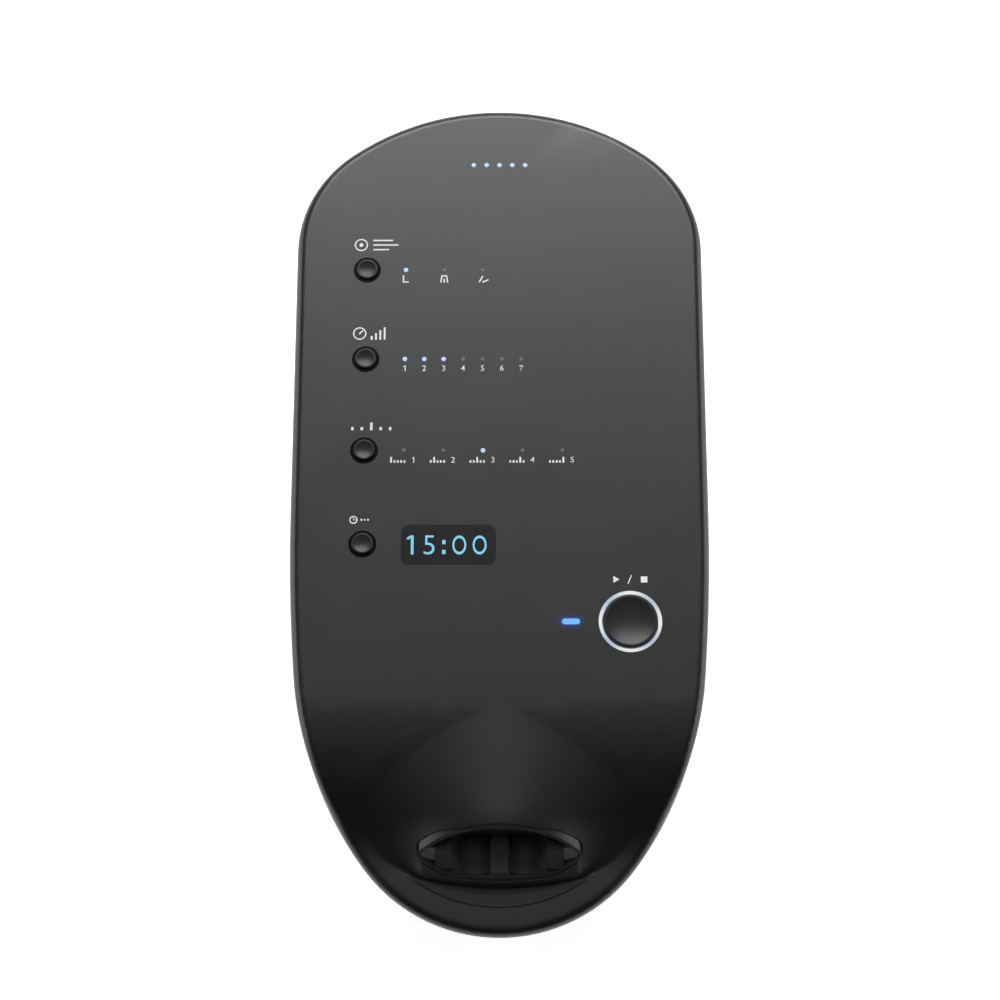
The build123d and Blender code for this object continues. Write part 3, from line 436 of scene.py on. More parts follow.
SKIN_GAP = 0.15  # the shell keeps this far from the hood, so that no two faces share a place
RAMP_COVER = 0.03  # away from the hood, the hood's solid lies this far under the ramp
RAMP_SPARE = 0.02  # and the shell's cut passes this far over it
RAMP_ROWS, ROWS_START = 140, NOSE + 1.9  # rows of points along the ramp, from its rim
HOOD_FOOT = CHIN - 6  # level of the hood's underside, inside the shell
PLAN_SHARE, PLAN_RISE = 0.93, 1.5  # the hood's blank is the shell's outline, drawn in and made taller

SOCKET_INSET, ROOM_INSET = 0.3, 1.15  # outside and inside of the socket's tube, in from the mouth
PIECE_INSET = 0.6  # ribs and beds end between the two
STEP_INSET, STEP_BACK = 1.0, 0.35  # the step in the tube's front edge
END_WALL_DEPTH = 3.6
SINK = 0.5  # how far ribs and beds run into the end wall
RIB_FOOT = 0.9  # ribs are measured from this far over the sill
RIB_KNEE = 0.4  # share of a rib's height at which its steep facet starts
# A rib's height, the ends of its top and of its two facets in front of the wall, and its near and far side
MIDDLE_RIB = (2.5, 7.8, 9.1, 10.4, -2.15, 2.15)
SIDE_RIBS = ((4.4, 6.4, 7.9, 7.9, 11.7, 15.8), (5.2, 3.5, 6.0, 6.0, 15.8, 19.2))
PORT_X, PORT_RISE = 4.65, 5.2  # the ports' axes, from the middle and over the chin
PORT_BORES = ((3.15, -0.5, 0.9), (2.2, 0.5, 4.5))  # radius, start and end, from the end wall backwards


def ramp_drop(y):
    """How far the ramp lies under the face: a wide convex arc, then a tighter concave one."""
    run = RAMP_Y - y
    if run <= 0:
        return 0.0
    radii = RAMP_LENGTH / math.sin(2 * math.atan(RAMP_DROP / RAMP_LENGTH))
    convex = radii * RAMP_SHARE
    concave = radii - convex
    if run < RAMP_LENGTH * RAMP_SHARE:
        return convex - math.sqrt(convex ** 2 - run ** 2)
    rest = max(0.0, RAMP_LENGTH - run)
    return RAMP_DROP - concave + math.sqrt(concave ** 2 - rest ** 2)


def hood_reach(y):
    """Half the hood's width at a place along the pump."""
    away = y - HOOD_MIDDLE
    if away > 0:
        taper, narrowing = BACK_POWERS
        return HOOD_HALF * (1 - min(1.0, away / HOOD_BACK) ** taper) ** narrowing
    return HOOD_HALF * math.sqrt(max(0.0, 1 - (away / HOOD_FRONT) ** 2))


def hood_height(x, y):
    """How far the hood stands over the ramp: a rounded crest that ends just over the mouth's face."""
    reach = hood_reach(y)
    if abs(x) >= reach:
        return 0.0
    roundness, fall = FLANK_POWERS
    crest = ramp_drop(y) * (1 - (abs(x) / reach) ** roundness) ** fall
    if crest <= 0:
        return 0.0
    lead = FRONT_LEAD + MIDDLE_LEAD * max(0.0, 1 - (x / SCOOP_X) ** 2)
    foot = MOUTH_Y + x ** 2 / (2 * MOUTH_PLAN)
    front = ramp_drop(y) - RAMP_DROP + lead + (y - foot) * MOUTH_RISE
    front = (front + math.hypot(front, FRONT_SOFTNESS)) / 2
    return crest * front / (crest ** EDGE_POWER + front ** EDGE_POWER) ** (1 / EDGE_POWER)


def combine(piece, other, how):
    """Cuts, joins or intersects a closed piece with another, which is used up."""
    take(piece)
    cut = piece.modifiers.new("cut", "BOOLEAN")
    cut.solver = "MANIFOLD"
    cut.operation = how
    cut.object = other
    bpy.ops.object.modifier_apply(modifier="cut")
    bpy.data.objects.remove(other)
    return piece


def solid(name, points, faces):
    """A closed mesh from points in millimetres."""
    mesh = bpy.data.meshes.new(name)
    mesh.from_pydata([[c * MM for c in point] for point in points], [], faces)
    piece = bpy.data.objects.new(name, mesh)
    bpy.context.collection.objects.link(piece)
    open_mesh(piece)
    bpy.ops.mesh.normals_make_consistent(inside=False)
    close_mesh()
    return piece


def stacked(name, rings):
    """A solid through rings of as many points each, with its two ends closed."""
    count = len(rings[0])
    last = count * (len(rings) - 1)
    faces = [tuple(range(count)), tuple(range(last, last + count))]
    for start in range(0, last, count):
        for i in range(count):
            a, b = start + i, start + (i + 1) % count
            faces.append((a, b, b + count, a + count))
    return solid(name, [point for ring in rings for point in ring], faces)


def prism(name, outline, axis, start, end):
    """An outline in the XZ plane drawn out along Y, or one in the YZ plane drawn out along X."""
    rings = [[(a, d, b) if axis == "Y" else (d, a, b) for a, b in outline] for d in (start, end)]
    return stacked(name, rings)


def height_solid(name, height, end, xs, ys):
    """A solid between a surface of heights and a flat end."""
    rings = [[(x, y, height(x, y)) for x in xs] + [(x, y, end) for x in reversed(xs)] for y in ys]
    return stacked(name, rings)


def across(half):
    """Places across the pump, half a millimetre apart."""
    return spaced(-half, half, 4 * half)


def circle(x, y, radius, steps):
    """Points round a circle, without the last one, which would repeat the first."""
    return [(x + radius * math.cos(t), y + radius * math.sin(t)) for t in spaced(0, 2 * math.pi, steps)[:-1]]


def mouth_front(setback=0.0):
    """Everything in front of the mouth's face, which slants above the chin and is curved in plan."""
    near, far = MOUTH_PLAN - setback, MOUTH_PLAN + 30
    low, high = CHIN - 12, TOP + 12
    slant = near - (high - CHIN) / MOUTH_RISE
    section = [(near, low), (near, CHIN), (slant, high), (far, high), (far, low)]
    centre = MOUTH_Y + MOUTH_PLAN
    rings = []
    for turn in spaced(-MOUTH_TURN, MOUTH_TURN, 160):
        t = math.radians(turn - 90)
        rings.append([(r * math.cos(t), centre + r * math.sin(t), z) for r, z in section])
    return stacked("mouth_front", rings)


def rounded(corner, before, after, radius, steps):
    """Points of an arc that rounds the corner between two straight lines."""
    corner = Vector(corner)
    first = (Vector(before) - corner).normalized()
    second = (Vector(after) - corner).normalized()
    half = first.angle(second) / 2
    centre = corner + (first + second).normalized() * radius / math.sin(half)
    start = corner + first * radius / math.tan(half) - centre
    turn = start.angle_signed(corner + second * radius / math.tan(half) - centre)
    arc = []
    for t in spaced(0.0, turn, steps):
        c, s = math.cos(-t), math.sin(-t)
        arc.append(tuple(centre + Vector((c * start.x - s * start.y, s * start.x + c * start.y))))
    return arc


def eye_outline():
    """The eye-shaped outline of the hose mouth: a round roof, two corners and a low sill."""
    rise = CORNER_DROP - ROOF_DROP
    radius = (CORNER_X ** 2 + rise ** 2) / (2 * rise)
    centre = TOP - ROOF_DROP - radius
    half = math.asin(CORNER_X / radius) - ROOF_END / radius
    roof = [(radius * math.sin(t), centre + radius * math.cos(t)) for t in spaced(half, -half, 48)]
    right, left = (CORNER_X, TOP - CORNER_DROP), (-CORNER_X, TOP - CORNER_DROP)
    sill_right, sill_left = (SILL_X, TOP - SILL_DROP), (-SILL_X, TOP - SILL_DROP)
    outline = roof + rounded(left, roof[-1], sill_left, CORNER_RADIUS, 8)
    outline += rounded(sill_left, left, sill_right, SILL_RADIUS, 8)
    outline += rounded(sill_right, sill_left, right, SILL_RADIUS, 8)
    return outline + rounded(right, sill_right, roof[0], CORNER_RADIUS, 8)


def eye(name, inset, start, end):
    """The mouth's outline, made smaller all round and drawn out along the pump."""
    outline = eye_outline()
    count = len(outline)
    moved = []
    for i in range(count):
        here = Vector(outline[i])
        a = (here - Vector(outline[i - 1])).normalized()
        b = (Vector(outline[(i + 1) % count]) - here).normalized()
        inward = Vector((-(a + b).y, (a + b).x)).normalized()
        moved.append(here + inward * inset / max(0.5, inward.dot(Vector((-a.y, a.x)))))
    return prism(name, [tuple(p) for p in moved], "Y", start, end)


def mouth_hollow(grow=0.0):
    """The cut of the slanted mouth face and the crescent hollow in the chin below it."""
    radius = (SCOOP_X ** 2 + SCOOP_FRONT ** 2) / (2 * SCOOP_FRONT)
    centre = MOUTH_Y + SCOOP_X ** 2 / (2 * MOUTH_PLAN) - SCOOP_FRONT + radius
    radius += grow
    levels = (
        (radius, CHIN - SCOOP_DEPTH - 1),
        (radius, CHIN - FLARE_FOOT),
        (radius + FLARE, CHIN + FLARE_TOP),
        (radius + FLARE, ABOVE),
    )
    column = stacked("column", [[(x, y, z) for x, y in circle(0, centre, r, 240)] for r, z in levels])
    floor_centre = CHIN - SCOOP_DEPTH - grow + SCOOP_FLOOR
    room = [
        (SCOOP_FLOOR * math.sin(t), floor_centre - SCOOP_FLOOR * math.cos(t)) for t in spaced(-0.35, 0.35, 80)
    ]
    room += [(40, ABOVE + 1), (-40, ABOVE + 1)]
    column = combine(column, prism("room", room, "Y", OUTSIDE, 0), "INTERSECT")
    return combine(column, mouth_front(grow), "INTERSECT")


def rib(height, level, fall, toe, near, far):
    """A rib on the socket's floor: a level top, then two facets that fall away to its toe."""
    low = TOP - SILL_DROP
    top = low + RIB_FOOT + height
    side = [
        (END_WALL + SINK, low),
        (END_WALL + SINK, top),
        (END_WALL - level, top),
        (END_WALL - fall, low + (top - low) * RIB_KNEE),
        (END_WALL - toe, low),
    ]
    return prism("rib", side, "X", *sorted((near, far)))


def trough_bed(side):
    """The bed beside the middle rib: a round trough that rises to a bank, with a thin slot."""
    low = TOP - SILL_DROP
    floor, bank_top = low + 1.4, low + 5.3
    slot, brim, bank = 2.5, 9.4, 11.7  # sides of the slot, the trough and the bank, from the middle
    trough_x, radius = 6.0, 8.0
    front, slope_top = END_WALL - 9.1, END_WALL - 6.0
    arc = [
        (trough_x + radius * math.sin(t), floor + radius * (1 - math.cos(t))) for t in spaced(-0.44, 0.44, 12)
    ]
    outline = arc + [(brim, floor + 1.0), (bank, bank_top), (bank, low), (slot, low)]
    bed = prism("bed", [(side * x, z) for x, z in outline], "Y", front, END_WALL + SINK)
    back, high = END_WALL + 1, floor + 6
    slope = [(back, low - 1), (back, high), (slope_top, high), (front, floor), (front, low - 1)]
    return combine(bed, prism("slope", slope, "X", -20, 20), "INTERSECT")


# ---------------------------------------------------------------- figures and signs
# Each is drawn from flat bars, discs and hoops. Their places and sizes are shares of the height h, from the
# sign's left end for the signs over the small buttons and from its middle for the others.
# A drawn one is its stem's width, then its flag's place back and up, length, thickness and turn in degrees.
LABEL_ONE = (0.15, 0.16, 0.36, 0.36, 0.13, 38)
TIMER_ONE = (0.135, 0.13, 0.4, 0.3, 0.1215, 32)
LABEL_WEIGHT, TIMER_WEIGHT = 0.006, -0.008  # how much the built-in figures' strokes grow


def lettering(text, x, y, height, weight, stretch=1.0):
    """A figure as a flat mesh, centred at a place on the face."""
    deselect()
    bpy.ops.object.text_add(location=(0, 0, 0))
    piece = bpy.context.object
    piece.data.body = text
    piece.data.size = 1.0
    piece.data.offset = weight
    piece.data.resolution_u = 6
    bpy.ops.object.convert(target="MESH")
    piece = bpy.context.object
    low = [min(v.co[i] for v in piece.data.vertices) for i in (0, 1)]
    high = [max(v.co[i] for v in piece.data.vertices) for i in (0, 1)]
    scale = height / (high[1] - low[1])
    piece.scale = (scale * stretch, scale, scale)
    piece.location.x = x - scale * stretch * (low[0] + high[0]) / 2
    piece.location.y = y - scale * (low[1] + high[1]) / 2
    piece.location.z = FACE_Z
    return piece


def drawn_one(x, y, h, shares):
    """A one with a flag, because the built-in one has none; x is the middle of its stem."""
    stem, back, up, flag, thick, turn = shares
    return [flat_bar(x, y, h * stem, h), flat_bar(x - h * back, y + h * up, h * flag, h * thick, turn)]


def figure(digit, x, y, h):
    """The pieces of a plain figure."""
    if digit == 1:
        return drawn_one(x + h * 0.08, y, h, LABEL_ONE)
    return [lettering(str(digit), x, y, h, LABEL_WEIGHT)]


def bars(x, y, h, *shares):
    """Bars of a sign, each by the place of its middle, its width, its height and perhaps its turn."""
    return [flat_bar(x + h * a, y + h * b, h * wide, h * tall, *turn) for a, b, wide, tall, *turn in shares]


def standing(a, wide, tall):
    """A bar that stands on the sign's foot line."""
    return a, (tall - 1) / 2, wide, tall


def list_sign(x, y, h):
    """A connector ring and three lines of a list."""
    lines = bars(x, y, h, (2.15, 0.38, 1.5, 0.11), (2.35, 0, 1.9, 0.11), (2.0, -0.38, 1.2, 0.11))
    return [flat_hoop(x + h * 0.5, y, h * 0.5, h * 0.09), flat_disc(x + h * 0.5, y, h * 0.15), *lines]


def gauge_sign(x, y, h):
    """A dial with its needle and four rising bars."""
    rising = [standing(1.4 + 0.32 * i, 0.14, tall) for i, tall in enumerate((0.3, 0.53, 0.77, 1.0))]
    return [flat_hoop(x + h * 0.5, y, h * 0.5, h * 0.09), *bars(x, y, h, (0.6, 0.1, 0.4, 0.1, 45), *rising)]


def zone_sign(x, y, h, chosen=2, pitch=1.15):
    """Five blocks in a row, of which the chosen one is taller."""
    return bars(x, y, h, *(standing(0.15 + pitch * i, 0.3, 1.0 if i == chosen else 0.42) for i in range(5)))


def clock_sign(x, y, h):
    """A clock face with two hands and three ticks of time."""
    hands = ((0.5, 0.13, 0.12, 0.36), (0.6, 0, 0.3, 0.12))
    ticks = [(1.45 + 0.4 * i, 0, 0.2, 0.2) for i in range(3)]
    return [flat_hoop(x + h * 0.5, y, h * 0.5, h * 0.13), *bars(x, y, h, *hands, *ticks)]


def run_sign(x, y, h):
    """A triangle for run, a stroke, and a square for stop."""
    triangle = flat_disc(x - h * 1.8, y, h * 0.52, 3, -90)
    return [triangle, *bars(x, y, h, (0, 0, 0.12, 1.2, -22), (1.8, 0, 0.8, 0.8))]


def leg_sign(x, y, h):
    """A shin and a foot."""
    return bars(x, y, h, (-0.3, 0, 0.17, 1), (0.07, -0.42, 0.57, 0.16))


def hips_sign(x, y, h):
    """A waist with the tops of two legs."""
    legs = ((-0.36, -0.05, 0.17, 0.9, -10), (0.36, -0.05, 0.17, 0.9, 10))
    return bars(x, y, h, (0, 0.42, 0.76, 0.16), (0, -0.25, 0.15, 0.5), *legs)


def arm_sign(x, y, h):
    """An upper arm and a raised forearm."""
    return bars(x, y, h, (-0.2, -0.02, 0.17, 0.95, -28), (0.36, -0.27, 0.8, 0.16, 24))


# ---------------------------------------------------------------- operators
class PUMP_OT_shells(bpy.types.Operator):
    """Gives the housing its grained plastic, with the status light's spill painted into it as a glow"""

    bl_idname = "pump.shells"
    bl_label = "Housing"

    def execute(self, context):
        values = context.scene.pump_finish
        made = moulded("housing_plastic", values.shell, values.roughness, values.grain, 0.016 * MM)
        low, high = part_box("status_light")
        x, y, _ = (low + high) / 2
        radius = (high.y - low.y) / 2 - STATUS_FOOT
        straight = (high.x - low.x) / 2 - STATUS_FOOT - radius
        # painted light: each spill is a glow painted into the housing's emission round the status bar
        for spill in STATUS_PAINTED_SPILLS:
            add_spill(made, (x, y, FACE_Z), straight, radius, *spill)
        for node in SHELLS:
            finish(node, made)
        return {"FINISHED"}


class PUMP_OT_socket(bpy.types.Operator):
    """Models the hood with its eye-shaped mouth and the ribbed hose socket inside it"""

    bl_idname = "pump.hose_socket"
    bl_label = "Hose socket"

    def merged(self, node, name):
        """A merged copy of a CAD node's mesh."""
        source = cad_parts[node]
        piece = source.copy()
        piece.data = source.data.copy()
        piece.parent = None
        piece.name = name
        bpy.context.collection.objects.link(piece)
        open_mesh(piece)
        bpy.ops.mesh.remove_doubles(threshold=1e-7)
        bpy.ops.mesh.customdata_custom_splitnormals_clear()
        close_mesh()
        return piece

    def blank(self):
        """The convex hull of the front shell, drawn in towards the ramp's top and made taller."""
        hull = self.merged("front_shell", "blank")
        open_mesh(hull)
        bpy.ops.mesh.convex_hull()
        close_mesh()
        foot = Vector((0, RAMP_Y, CHIN)) * MM
        for point in hull.data.vertices:
            away = point.co - foot
            point.co = foot + Vector((away.x * PLAN_SHARE, away.y * PLAN_SHARE, away.z * PLAN_RISE))
        return hull

    def hood(self):
        """The solid under the ramp and the hood."""

        def height(x, y):
            return TOP - ramp_drop(y) + hood_height(x, y) - RAMP_COVER

        ys = spaced(ROWS_START, RAMP_Y - 1, RAMP_ROWS)
        core = height_solid("hood", height, HOOD_FOOT, across(50), ys)
        core = combine(core, self.blank(), "INTERSECT")
        core = combine(core, mouth_hollow(), "DIFFERENCE")
        return combine(core, eye("mouth", 0.0, OUTSIDE, END_WALL + 4), "DIFFERENCE")

    def shell(self):
        """The front shell, cut down to the ramp wherever the hood stands."""

        def height(x, y):
            return TOP - ramp_drop(y) + max(RAMP_SPARE, hood_height(x, y) - SKIN_GAP)

        ys = spaced(ROWS_START, RAMP_Y, RAMP_ROWS)
        shell = self.merged("front_shell", "shell")
        shell = combine(shell, height_solid("above", height, ABOVE, across(54), ys), "DIFFERENCE")
        shell = combine(shell, mouth_hollow(SKIN_GAP), "DIFFERENCE")
        return combine(shell, eye("mouth", -SKIN_GAP, OUTSIDE, END_WALL + 4), "DIFFERENCE")

    def insert(self):
        """The socket: a thin tube with a stepped front edge, an end wall, ribs and troughs."""
        tube = eye("socket", SOCKET_INSET, NOSE - 1, END_WALL + END_WALL_DEPTH)
        tube = combine(tube, eye("room", ROOM_INSET, OUTSIDE, END_WALL), "DIFFERENCE")
        step = combine(eye("step", STEP_INSET, OUTSIDE, END_WALL), mouth_front(STEP_BACK), "INTERSECT")
        tube = combine(tube, step, "DIFFERENCE")
        pieces = [rib(*MIDDLE_RIB)]
        for side in (-1, 1):
            pieces.append(trough_bed(side))
            for *shape, near, far in SIDE_RIBS:
                pieces.append(rib(*shape, side * near, side * far))
        for piece in pieces:
            limit = eye("limit", PIECE_INSET, OUTSIDE, END_WALL + 1)
            tube = combine(tube, combine(piece, limit, "INTERSECT"), "UNION")
        for side in (-1, 1):
            for radius, start, end in PORT_BORES:
                round_port = circle(side * PORT_X, CHIN + PORT_RISE, radius, 36)
                bore = prism("port", round_port, "Y", END_WALL + start, END_WALL + end)
                tube = combine(tube, bore, "DIFFERENCE")
        return combine(tube, mouth_front(), "DIFFERENCE")

    def execute(self, context):
        values = context.scene.pump_finish
        housing = bpy.data.materials["housing_plastic"]
        inside = moulded("socket_plastic", values.socket, 0.36, 0.3 * MM, 0.006 * MM, specular=0.36)
        pieces = (
            (self.shell(), "front_shell_skin", housing, "front_shell"),
            (self.hood(), "mouth_hood", housing, None),
            (self.insert(), "socket_insert", inside, "hose_socket"),
        )
        for piece, name, made, node in pieces:
            settle(piece, name, "housing", made)
            bpy.ops.object.shade_smooth_by_angle(angle=math.radians(30))
            even = piece.modifiers.new("even", "WEIGHTED_NORMAL")
            even.keep_sharp = True
            bpy.ops.object.modifier_apply(modifier="even")
            if node:
                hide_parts(node)
        rubber = moulded("black_rubber", values.rubber, 0.6, 0.3 * MM, 0.012 * MM)
        for node in RUBBER_NODES:
            finish(node, rubber)
        return {"FINISHED"}


class PUMP_OT_controls(bpy.types.Operator):
    """Finishes the button caps, their rings, made near black with almost no shine as painted shade of the gap
    round each cap, and the lit ring round the large button
    """

    bl_idname = "pump.controls"
    bl_label = "Buttons"

    def execute(self, context):
        values = context.scene.pump_finish
        cap = moulded("cap_plastic", values.cap, 0.34, spread=0.04, specular=0.3, **SMOOTH)
        for button in (*BUTTONS, "start"):
            finish(f"{button}_cap", cap)
        # painted shade: the bezel rings are near black with almost no shine, standing for the dark gap round
        # each cap
        ring = moulded("bezel_painted_shade", (0.001, 0.001, 0.001), 0.35, 0.2 * MM, 0.002 * MM, specular=0.06)
        finish("button_bezels", ring)
        finish("start_ring", self.lit_ring())
        return {"FINISHED"}

    def lit_ring(self):
        """White where the ring's four chips are, bluish grey between them."""
        made, tree, shader = material("lit_ring")
        place = add(tree, "ShaderNodeTexCoord").outputs["Object"]
        centred = add(tree, "ShaderNodeMapping", Vector=place, Location=-middle("start_ring"))
        parts = add(tree, "ShaderNodeSeparateXYZ", Vector=centred.outputs[0]).outputs
        angle = work_out(tree, "ARCTAN2", parts["Y"], parts["X"])
        wave = work_out(tree, "COSINE", work_out(tree, "MULTIPLY", angle, 4.0))
        share = add(tree, "ShaderNodeMapRange", Value=wave, From_Min=-1.0)
        mix = add(tree, "ShaderNodeMix", data_type="RGBA", Factor=share.outputs[0])
        dim, bright, blend = mix.inputs[6], mix.inputs[7], mix.outputs[2]
        dim.default_value = (0.46, 0.56, 0.68, 1)
        bright.default_value = (0.86, 0.88, 0.90, 1)
        feed(tree, shader.inputs["Emission Color"], blend)
        shader.inputs["Base Color"].default_value = (0.02, 0.02, 0.02, 1)
        shader.inputs["Roughness"].default_value = 0.3
        shader.inputs["Emission Strength"].default_value = 0.9
        return made


class PUMP_OT_lights(bpy.types.Operator):
    """Adds the lenses of the lit and unlit dots and lights the status bar"""

    bl_idname = "pump.lights"
    bl_label = "Lights"

    def lens(self, radius, rise):
        """One low lens with a rounded edge, at the origin."""
        deselect()
        bpy.ops.mesh.primitive_cylinder_add(vertices=28, radius=radius, depth=2 * rise)
        piece = bpy.context.object
        soft = piece.modifiers.new("edge", "BEVEL")
        soft.width = rise * 1.2
        soft.segments = 3
        soft.limit_method = "ANGLE"
        bpy.ops.object.modifier_apply(modifier="edge")
        bpy.ops.object.shade_smooth_by_angle(angle=math.radians(60))
        return piece

    def row(self, lens, spots):
        """A copy of the lens at each place, joined."""
        copies = []
        for x, y in spots:
            copy = lens.copy()
            copy.data = lens.data.copy()
            bpy.context.collection.objects.link(copy)
            copy.location = (x, y, FACE_Z)
            copies.append(copy)
        bpy.context.view_layer.update()
        return join(copies)

    def execute(self, context):
        values = context.scene.pump_finish
        marks = context.scene.pump_marks
        lit = glowing("lit_lens", values.lit)
        unlit = moulded("unlit_lens", values.unlit, 0.4, **SMOOTH)
        guide = moulded("guide_plastic", (0.004, 0.004, 0.0045), 0.4, **SMOOTH)
        bright = self.lens(marks.lit_radius, 0.03 * MM)
        dark = self.lens(marks.unlit_radius, 0.02 * MM)
        for row in LIGHT_ROWS:
            finish(f"{row}_lights", guide)
            dots = row_dots(row)
            on = [spot for i, spot in enumerate(dots) if i in LIT[row]]
            off = [spot for i, spot in enumerate(dots) if i not in LIT[row]]
            settle(self.row(bright, on), f"{row}_lit_lenses", "housing", lit)
            if off:
                settle(self.row(dark, off), f"{row}_unlit_lenses", "housing", unlit)
        bpy.data.objects.remove(bright)
        bpy.data.objects.remove(dark)
        finish("status_light", glowing("status_bar", values.status))
        return {"FINISHED"}


class PUMP_OT_display(bpy.types.Operator):
    """Finishes the display window and adds the timer's digits"""

    bl_idname = "pump.display"
    bl_label = "Display"

    one_x, five_x, colon_x, zeros_x = 2.85 * MM, 7.1 * MM, 10.8 * MM, (14.7 * MM, 19.8 * MM)
    drop = 0.05 * MM
    dot_width, dot_height, dots_y = 0.85 * MM, 1.1 * MM, (0.75 * MM, -1.85 * MM)
    narrowing = 0.7

    def execute(self, context):
        values = context.scene.pump_finish
        marks = context.scene.pump_marks
        window = moulded("window_plastic", (0.0035, 0.0035, 0.0038), 0.28, 3 * MM, 0.0, 0.02, specular=0.3)
        finish("display_window", window)
        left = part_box("display_window")[0].x
        y = middle("display_window").y - self.drop
        tall = marks.digit_height
        pieces = drawn_one(left + self.one_x, y, tall, TIMER_ONE)
        pieces.append(lettering("5", left + self.five_x, y, tall, TIMER_WEIGHT, 0.98))
        for rise in self.dots_y:
            pieces.append(flat_bar(left + self.colon_x, y + rise, self.dot_width, self.dot_height))
        for x in self.zeros_x:
            zero = flat_hoop(left + x, y, tall / 2, tall * TIMER_ONE[0])
            zero.scale.x = self.narrowing
            pieces.append(zero)
        digits = join(pieces)
        thicken(digits, marks.thickness)
        settle(digits, "timer_digits", "housing", glowing("timer_glow", values.digits))
        return {"FINISHED"}


class PUMP_OT_marks(bpy.types.Operator):
    """Prints plain figures under the dots and plain signs over the buttons"""

    bl_idname = "pump.marks"
    bl_label = "Printed marks"

    button_signs = {  # the sign over each button, how far over it, and its share of the signs' height
        "attachment": (list_sign, 7.1 * MM, 1.65),
        "pressure": (gauge_sign, 7.1 * MM, 1.65),
        "zone": (zone_sign, 6.5 * MM, 1.0),
        "time": (clock_sign, 6.4 * MM, 1.0),
    }
    signs_left = 3.4 * MM  # from the column of buttons to the signs' left ends
    run_rise, run_share = 10.9 * MM, 0.95

    def labels(self, tall, drop):
        """Figures or small signs under the dots."""
        pieces = []
        for i, (x, y) in enumerate(row_dots("pressure")):
            pieces += figure(i + 1, x, y - drop, tall)
        for i, (x, y) in enumerate(row_dots("zone")):
            pieces += figure(i + 1, x + tall * 1.6, y - drop, tall)
            pieces += zone_sign(x - tall * 2.2, y - drop, tall, i, 0.55)
        for sign, (x, y) in zip((leg_sign, hips_sign, arm_sign), row_dots("attachment")):
            pieces += sign(x, y - drop, tall * 1.35)
        return pieces

    def execute(self, context):
        values = context.scene.pump_finish
        marks = context.scene.pump_marks
        pieces = self.labels(marks.label_height, marks.label_drop)
        left = middle("time_cap").x - self.signs_left
        for button, (sign, rise, share) in self.button_signs.items():
            pieces += sign(left, middle(f"{button}_cap").y + rise, marks.sign_height * share)
        start = middle("start_ring")
        pieces += run_sign(start.x, start.y + self.run_rise, marks.sign_height * self.run_share)
        printed = join(pieces)
        thicken(printed, marks.thickness)
        ink = moulded("printing_ink", values.printing, 0.55, spread=0.05, **SMOOTH)
        settle(printed, "printed_marks", "housing", ink)
        return {"FINISHED"}


class PUMP_OT_inside(bpy.types.Operator):
    """Finishes the pieces inside the housing"""

    bl_idname = "pump.inside"
    bl_label = "Inside"

    def execute(self, context):
        for name, (tint, roughness, grain, nodes) in INNER_FINISHES.items():
            made = moulded(name, tint, roughness, **grain)
            for node in nodes:
                finish(node, made)
        return {"FINISHED"}


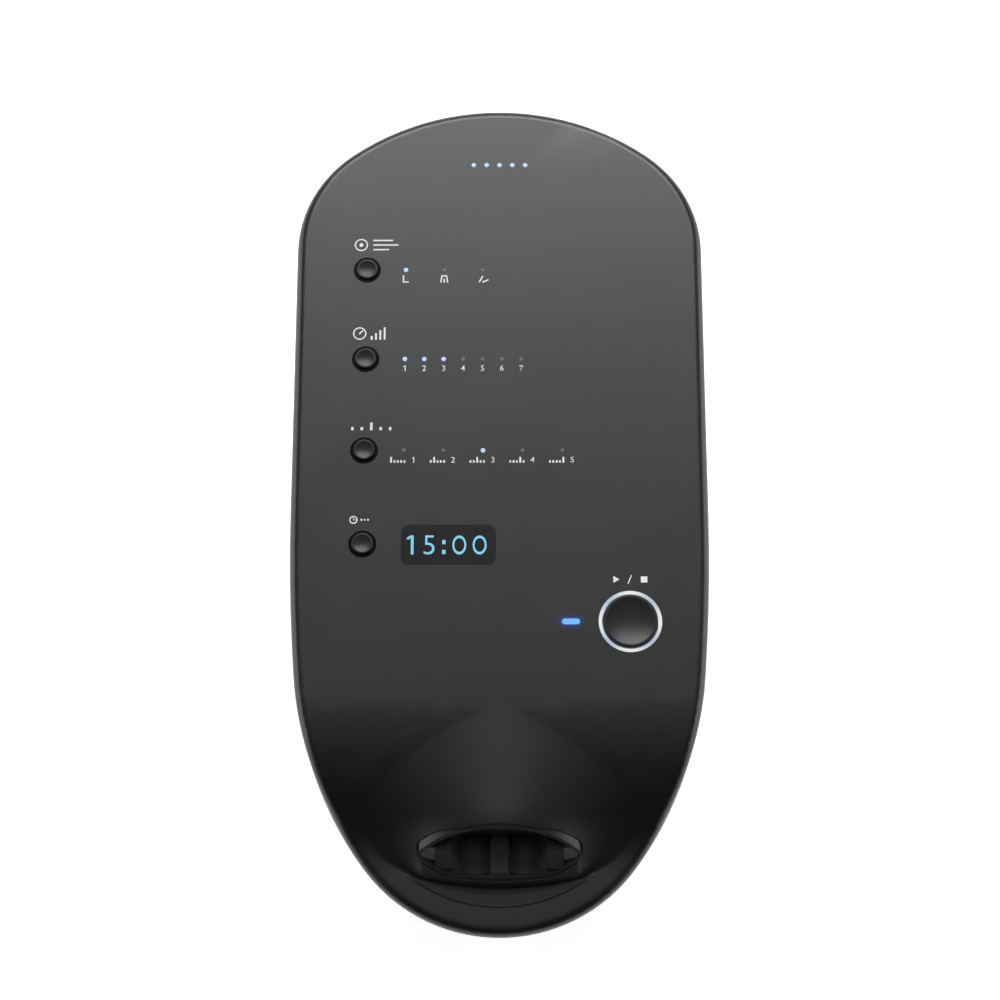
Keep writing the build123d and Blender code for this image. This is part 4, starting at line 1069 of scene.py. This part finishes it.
class PUMP_OT_stage(bpy.types.Operator):
    """Lays the pale floor and sets the soft lamps, the world and the camera"""

    bl_idname = "pump.stage"
    bl_label = "Studio"

    floor_glow = 0.82
    lamps = {  # place, target, width and depth in metres, and power in watts
        "far_softbox": ((0, 1.15, 1.25), (0, 0, 0.1), 1.3, 0.8, 27),
        "top_softbox": ((0, 0.1, 1.9), (0, 0, 0.1), 1.6, 1.6, 0.5),
        "left_card": ((-1.3, 0.1, 0.35), (0, 0, 0.08), 1.4, 0.5, 7),
        "right_card": ((1.3, 0.1, 0.35), (0, 0, 0.08), 1.4, 0.5, 7),
    }

    def background(self, tree):
        """1 for rays that look straight at the background, in a mirror or through glass."""
        path = add(tree, "ShaderNodeLightPath").outputs
        bent = work_out(tree, "MAXIMUM", path["Is Glossy Ray"], path["Is Transmission Ray"])
        return work_out(tree, "MAXIMUM", path["Is Camera Ray"], bent)

    def floor(self, size):
        """A pale floor that shows as white and keeps the pump's shadow."""
        deselect()
        bpy.ops.mesh.primitive_grid_add(x_subdivisions=4, y_subdivisions=4, size=size, location=(0, 0, 0))
        piece = bpy.context.object
        made, tree, shader = material("pale_floor")
        shader.inputs["Base Color"].default_value = (0.75, 0.75, 0.75, 1)
        shader.inputs["Roughness"].default_value = 0.9
        shader.inputs["Specular IOR Level"].default_value = 0.0
        shader.inputs["Emission Color"].default_value = (1, 1, 1, 1)
        glow = work_out(tree, "MULTIPLY", self.background(tree), self.floor_glow)
        feed(tree, shader.inputs["Emission Strength"], glow)
        piece.name = "studio_floor"
        piece.data.materials.append(made)

    def share(self, tree, source, start, end, low, high):
        """A smooth step from one level to another."""
        step = add(
            tree, "ShaderNodeMapRange", interpolation_type="SMOOTHSTEP",
            Value=source, From_Min=start, From_Max=end, To_Min=low, To_Max=high,
        )
        return step.outputs[0]

    def world(self):
        """White where it is seen; it lights the object as a dim room that is darker towards the hose end."""
        made = bpy.data.worlds.new("studio")
        bpy.context.scene.world = made
        made.use_nodes = True
        tree = made.node_tree
        place = add(tree, "ShaderNodeTexCoord").outputs["Generated"]
        parts = add(tree, "ShaderNodeSeparateXYZ", Vector=place).outputs
        along = self.share(tree, parts["Y"], -0.95, 0.45, 0.03, 0.45)
        across = self.share(tree, work_out(tree, "ABSOLUTE", parts["X"]), 0.15, 0.6, 1.0, 0.45)
        room = tree.nodes["Background"]
        feed(tree, room.inputs["Color"], work_out(tree, "MULTIPLY", along, across))
        white = add(tree, "ShaderNodeBackground", Color=(1, 1, 1, 1))
        seen = add(tree, "ShaderNodeLightPath").outputs["Is Camera Ray"]
        mix = add(tree, "ShaderNodeMixShader", Fac=seen)
        feed(tree, mix.inputs[1], room.outputs[0])
        feed(tree, mix.inputs[2], white.outputs[0])
        feed(tree, tree.nodes["World Output"].inputs["Surface"], mix.outputs[0])

    def lamp(self, name, place, target, width, depth, power):
        """A soft rectangular lamp, turned towards its target."""
        deselect()
        bpy.ops.object.light_add(type="AREA", location=place)
        piece = bpy.context.object
        piece.name = name
        piece.data.shape = "RECTANGLE"
        piece.data.size = width
        piece.data.size_y = depth
        piece.data.energy = power
        piece.rotation_euler = (Vector(target) - Vector(place)).to_track_quat("-Z", "Y").to_euler()

    def camera(self, values):
        deselect()
        place = (0, values.camera_y, values.camera_z)
        bpy.ops.object.camera_add(location=place, rotation=(values.tilt, 0, 0))
        camera = bpy.context.object
        camera.name = "view_camera"
        camera.data.lens = values.lens
        camera.data.shift_x = values.shift
        camera.data.clip_start = 0.01
        bpy.context.scene.camera = camera

    def execute(self, context):
        values = context.scene.pump_stage
        self.floor(values.floor)
        self.world()
        for name, lamp in self.lamps.items():
            self.lamp(name, *lamp)
        self.camera(values)
        context.scene.view_settings.view_transform = "Standard"
        return {"FINISHED"}


class PUMP_PT_panel(bpy.types.Panel):
    """Lists the sizes and the steps that dress the pump"""

    bl_label = "Compression pump"
    bl_idname = "PUMP_PT_panel"
    bl_space_type = "VIEW_3D"
    bl_region_type = "UI"
    bl_category = "Pump"

    def draw(self, context):
        for group in (context.scene.pump_finish, context.scene.pump_marks, context.scene.pump_stage):
            box = self.layout.box()
            for key in group.bl_rna.properties.keys():
                if key not in ("rna_type", "name"):
                    box.prop(group, key)
        for step in STEPS:
            self.layout.operator(step.bl_idname)


STEPS = (
    PUMP_OT_shells,
    PUMP_OT_socket,
    PUMP_OT_controls,
    PUMP_OT_lights,
    PUMP_OT_display,
    PUMP_OT_marks,
    PUMP_OT_inside,
    PUMP_OT_stage,
)
CLASSES = (PumpFinish, PumpMarks, PumpStage, *STEPS, PUMP_PT_panel)


def register():
    for made in CLASSES:
        bpy.utils.register_class(made)
    bpy.types.Scene.pump_finish = bpy.props.PointerProperty(type=PumpFinish)
    bpy.types.Scene.pump_marks = bpy.props.PointerProperty(type=PumpMarks)
    bpy.types.Scene.pump_stage = bpy.props.PointerProperty(type=PumpStage)


def unregister():
    del bpy.types.Scene.pump_finish
    del bpy.types.Scene.pump_marks
    del bpy.types.Scene.pump_stage
    for made in reversed(CLASSES):
        bpy.utils.unregister_class(made)


def main():
    register()
    grain_group()
    spill_group()
    bpy.ops.pump.shells()
    bpy.ops.pump.hose_socket()
    bpy.ops.pump.controls()
    bpy.ops.pump.lights()
    bpy.ops.pump.display()
    bpy.ops.pump.marks()
    bpy.ops.pump.inside()
    bpy.ops.pump.stage()


if __name__ == "__main__":
    main()
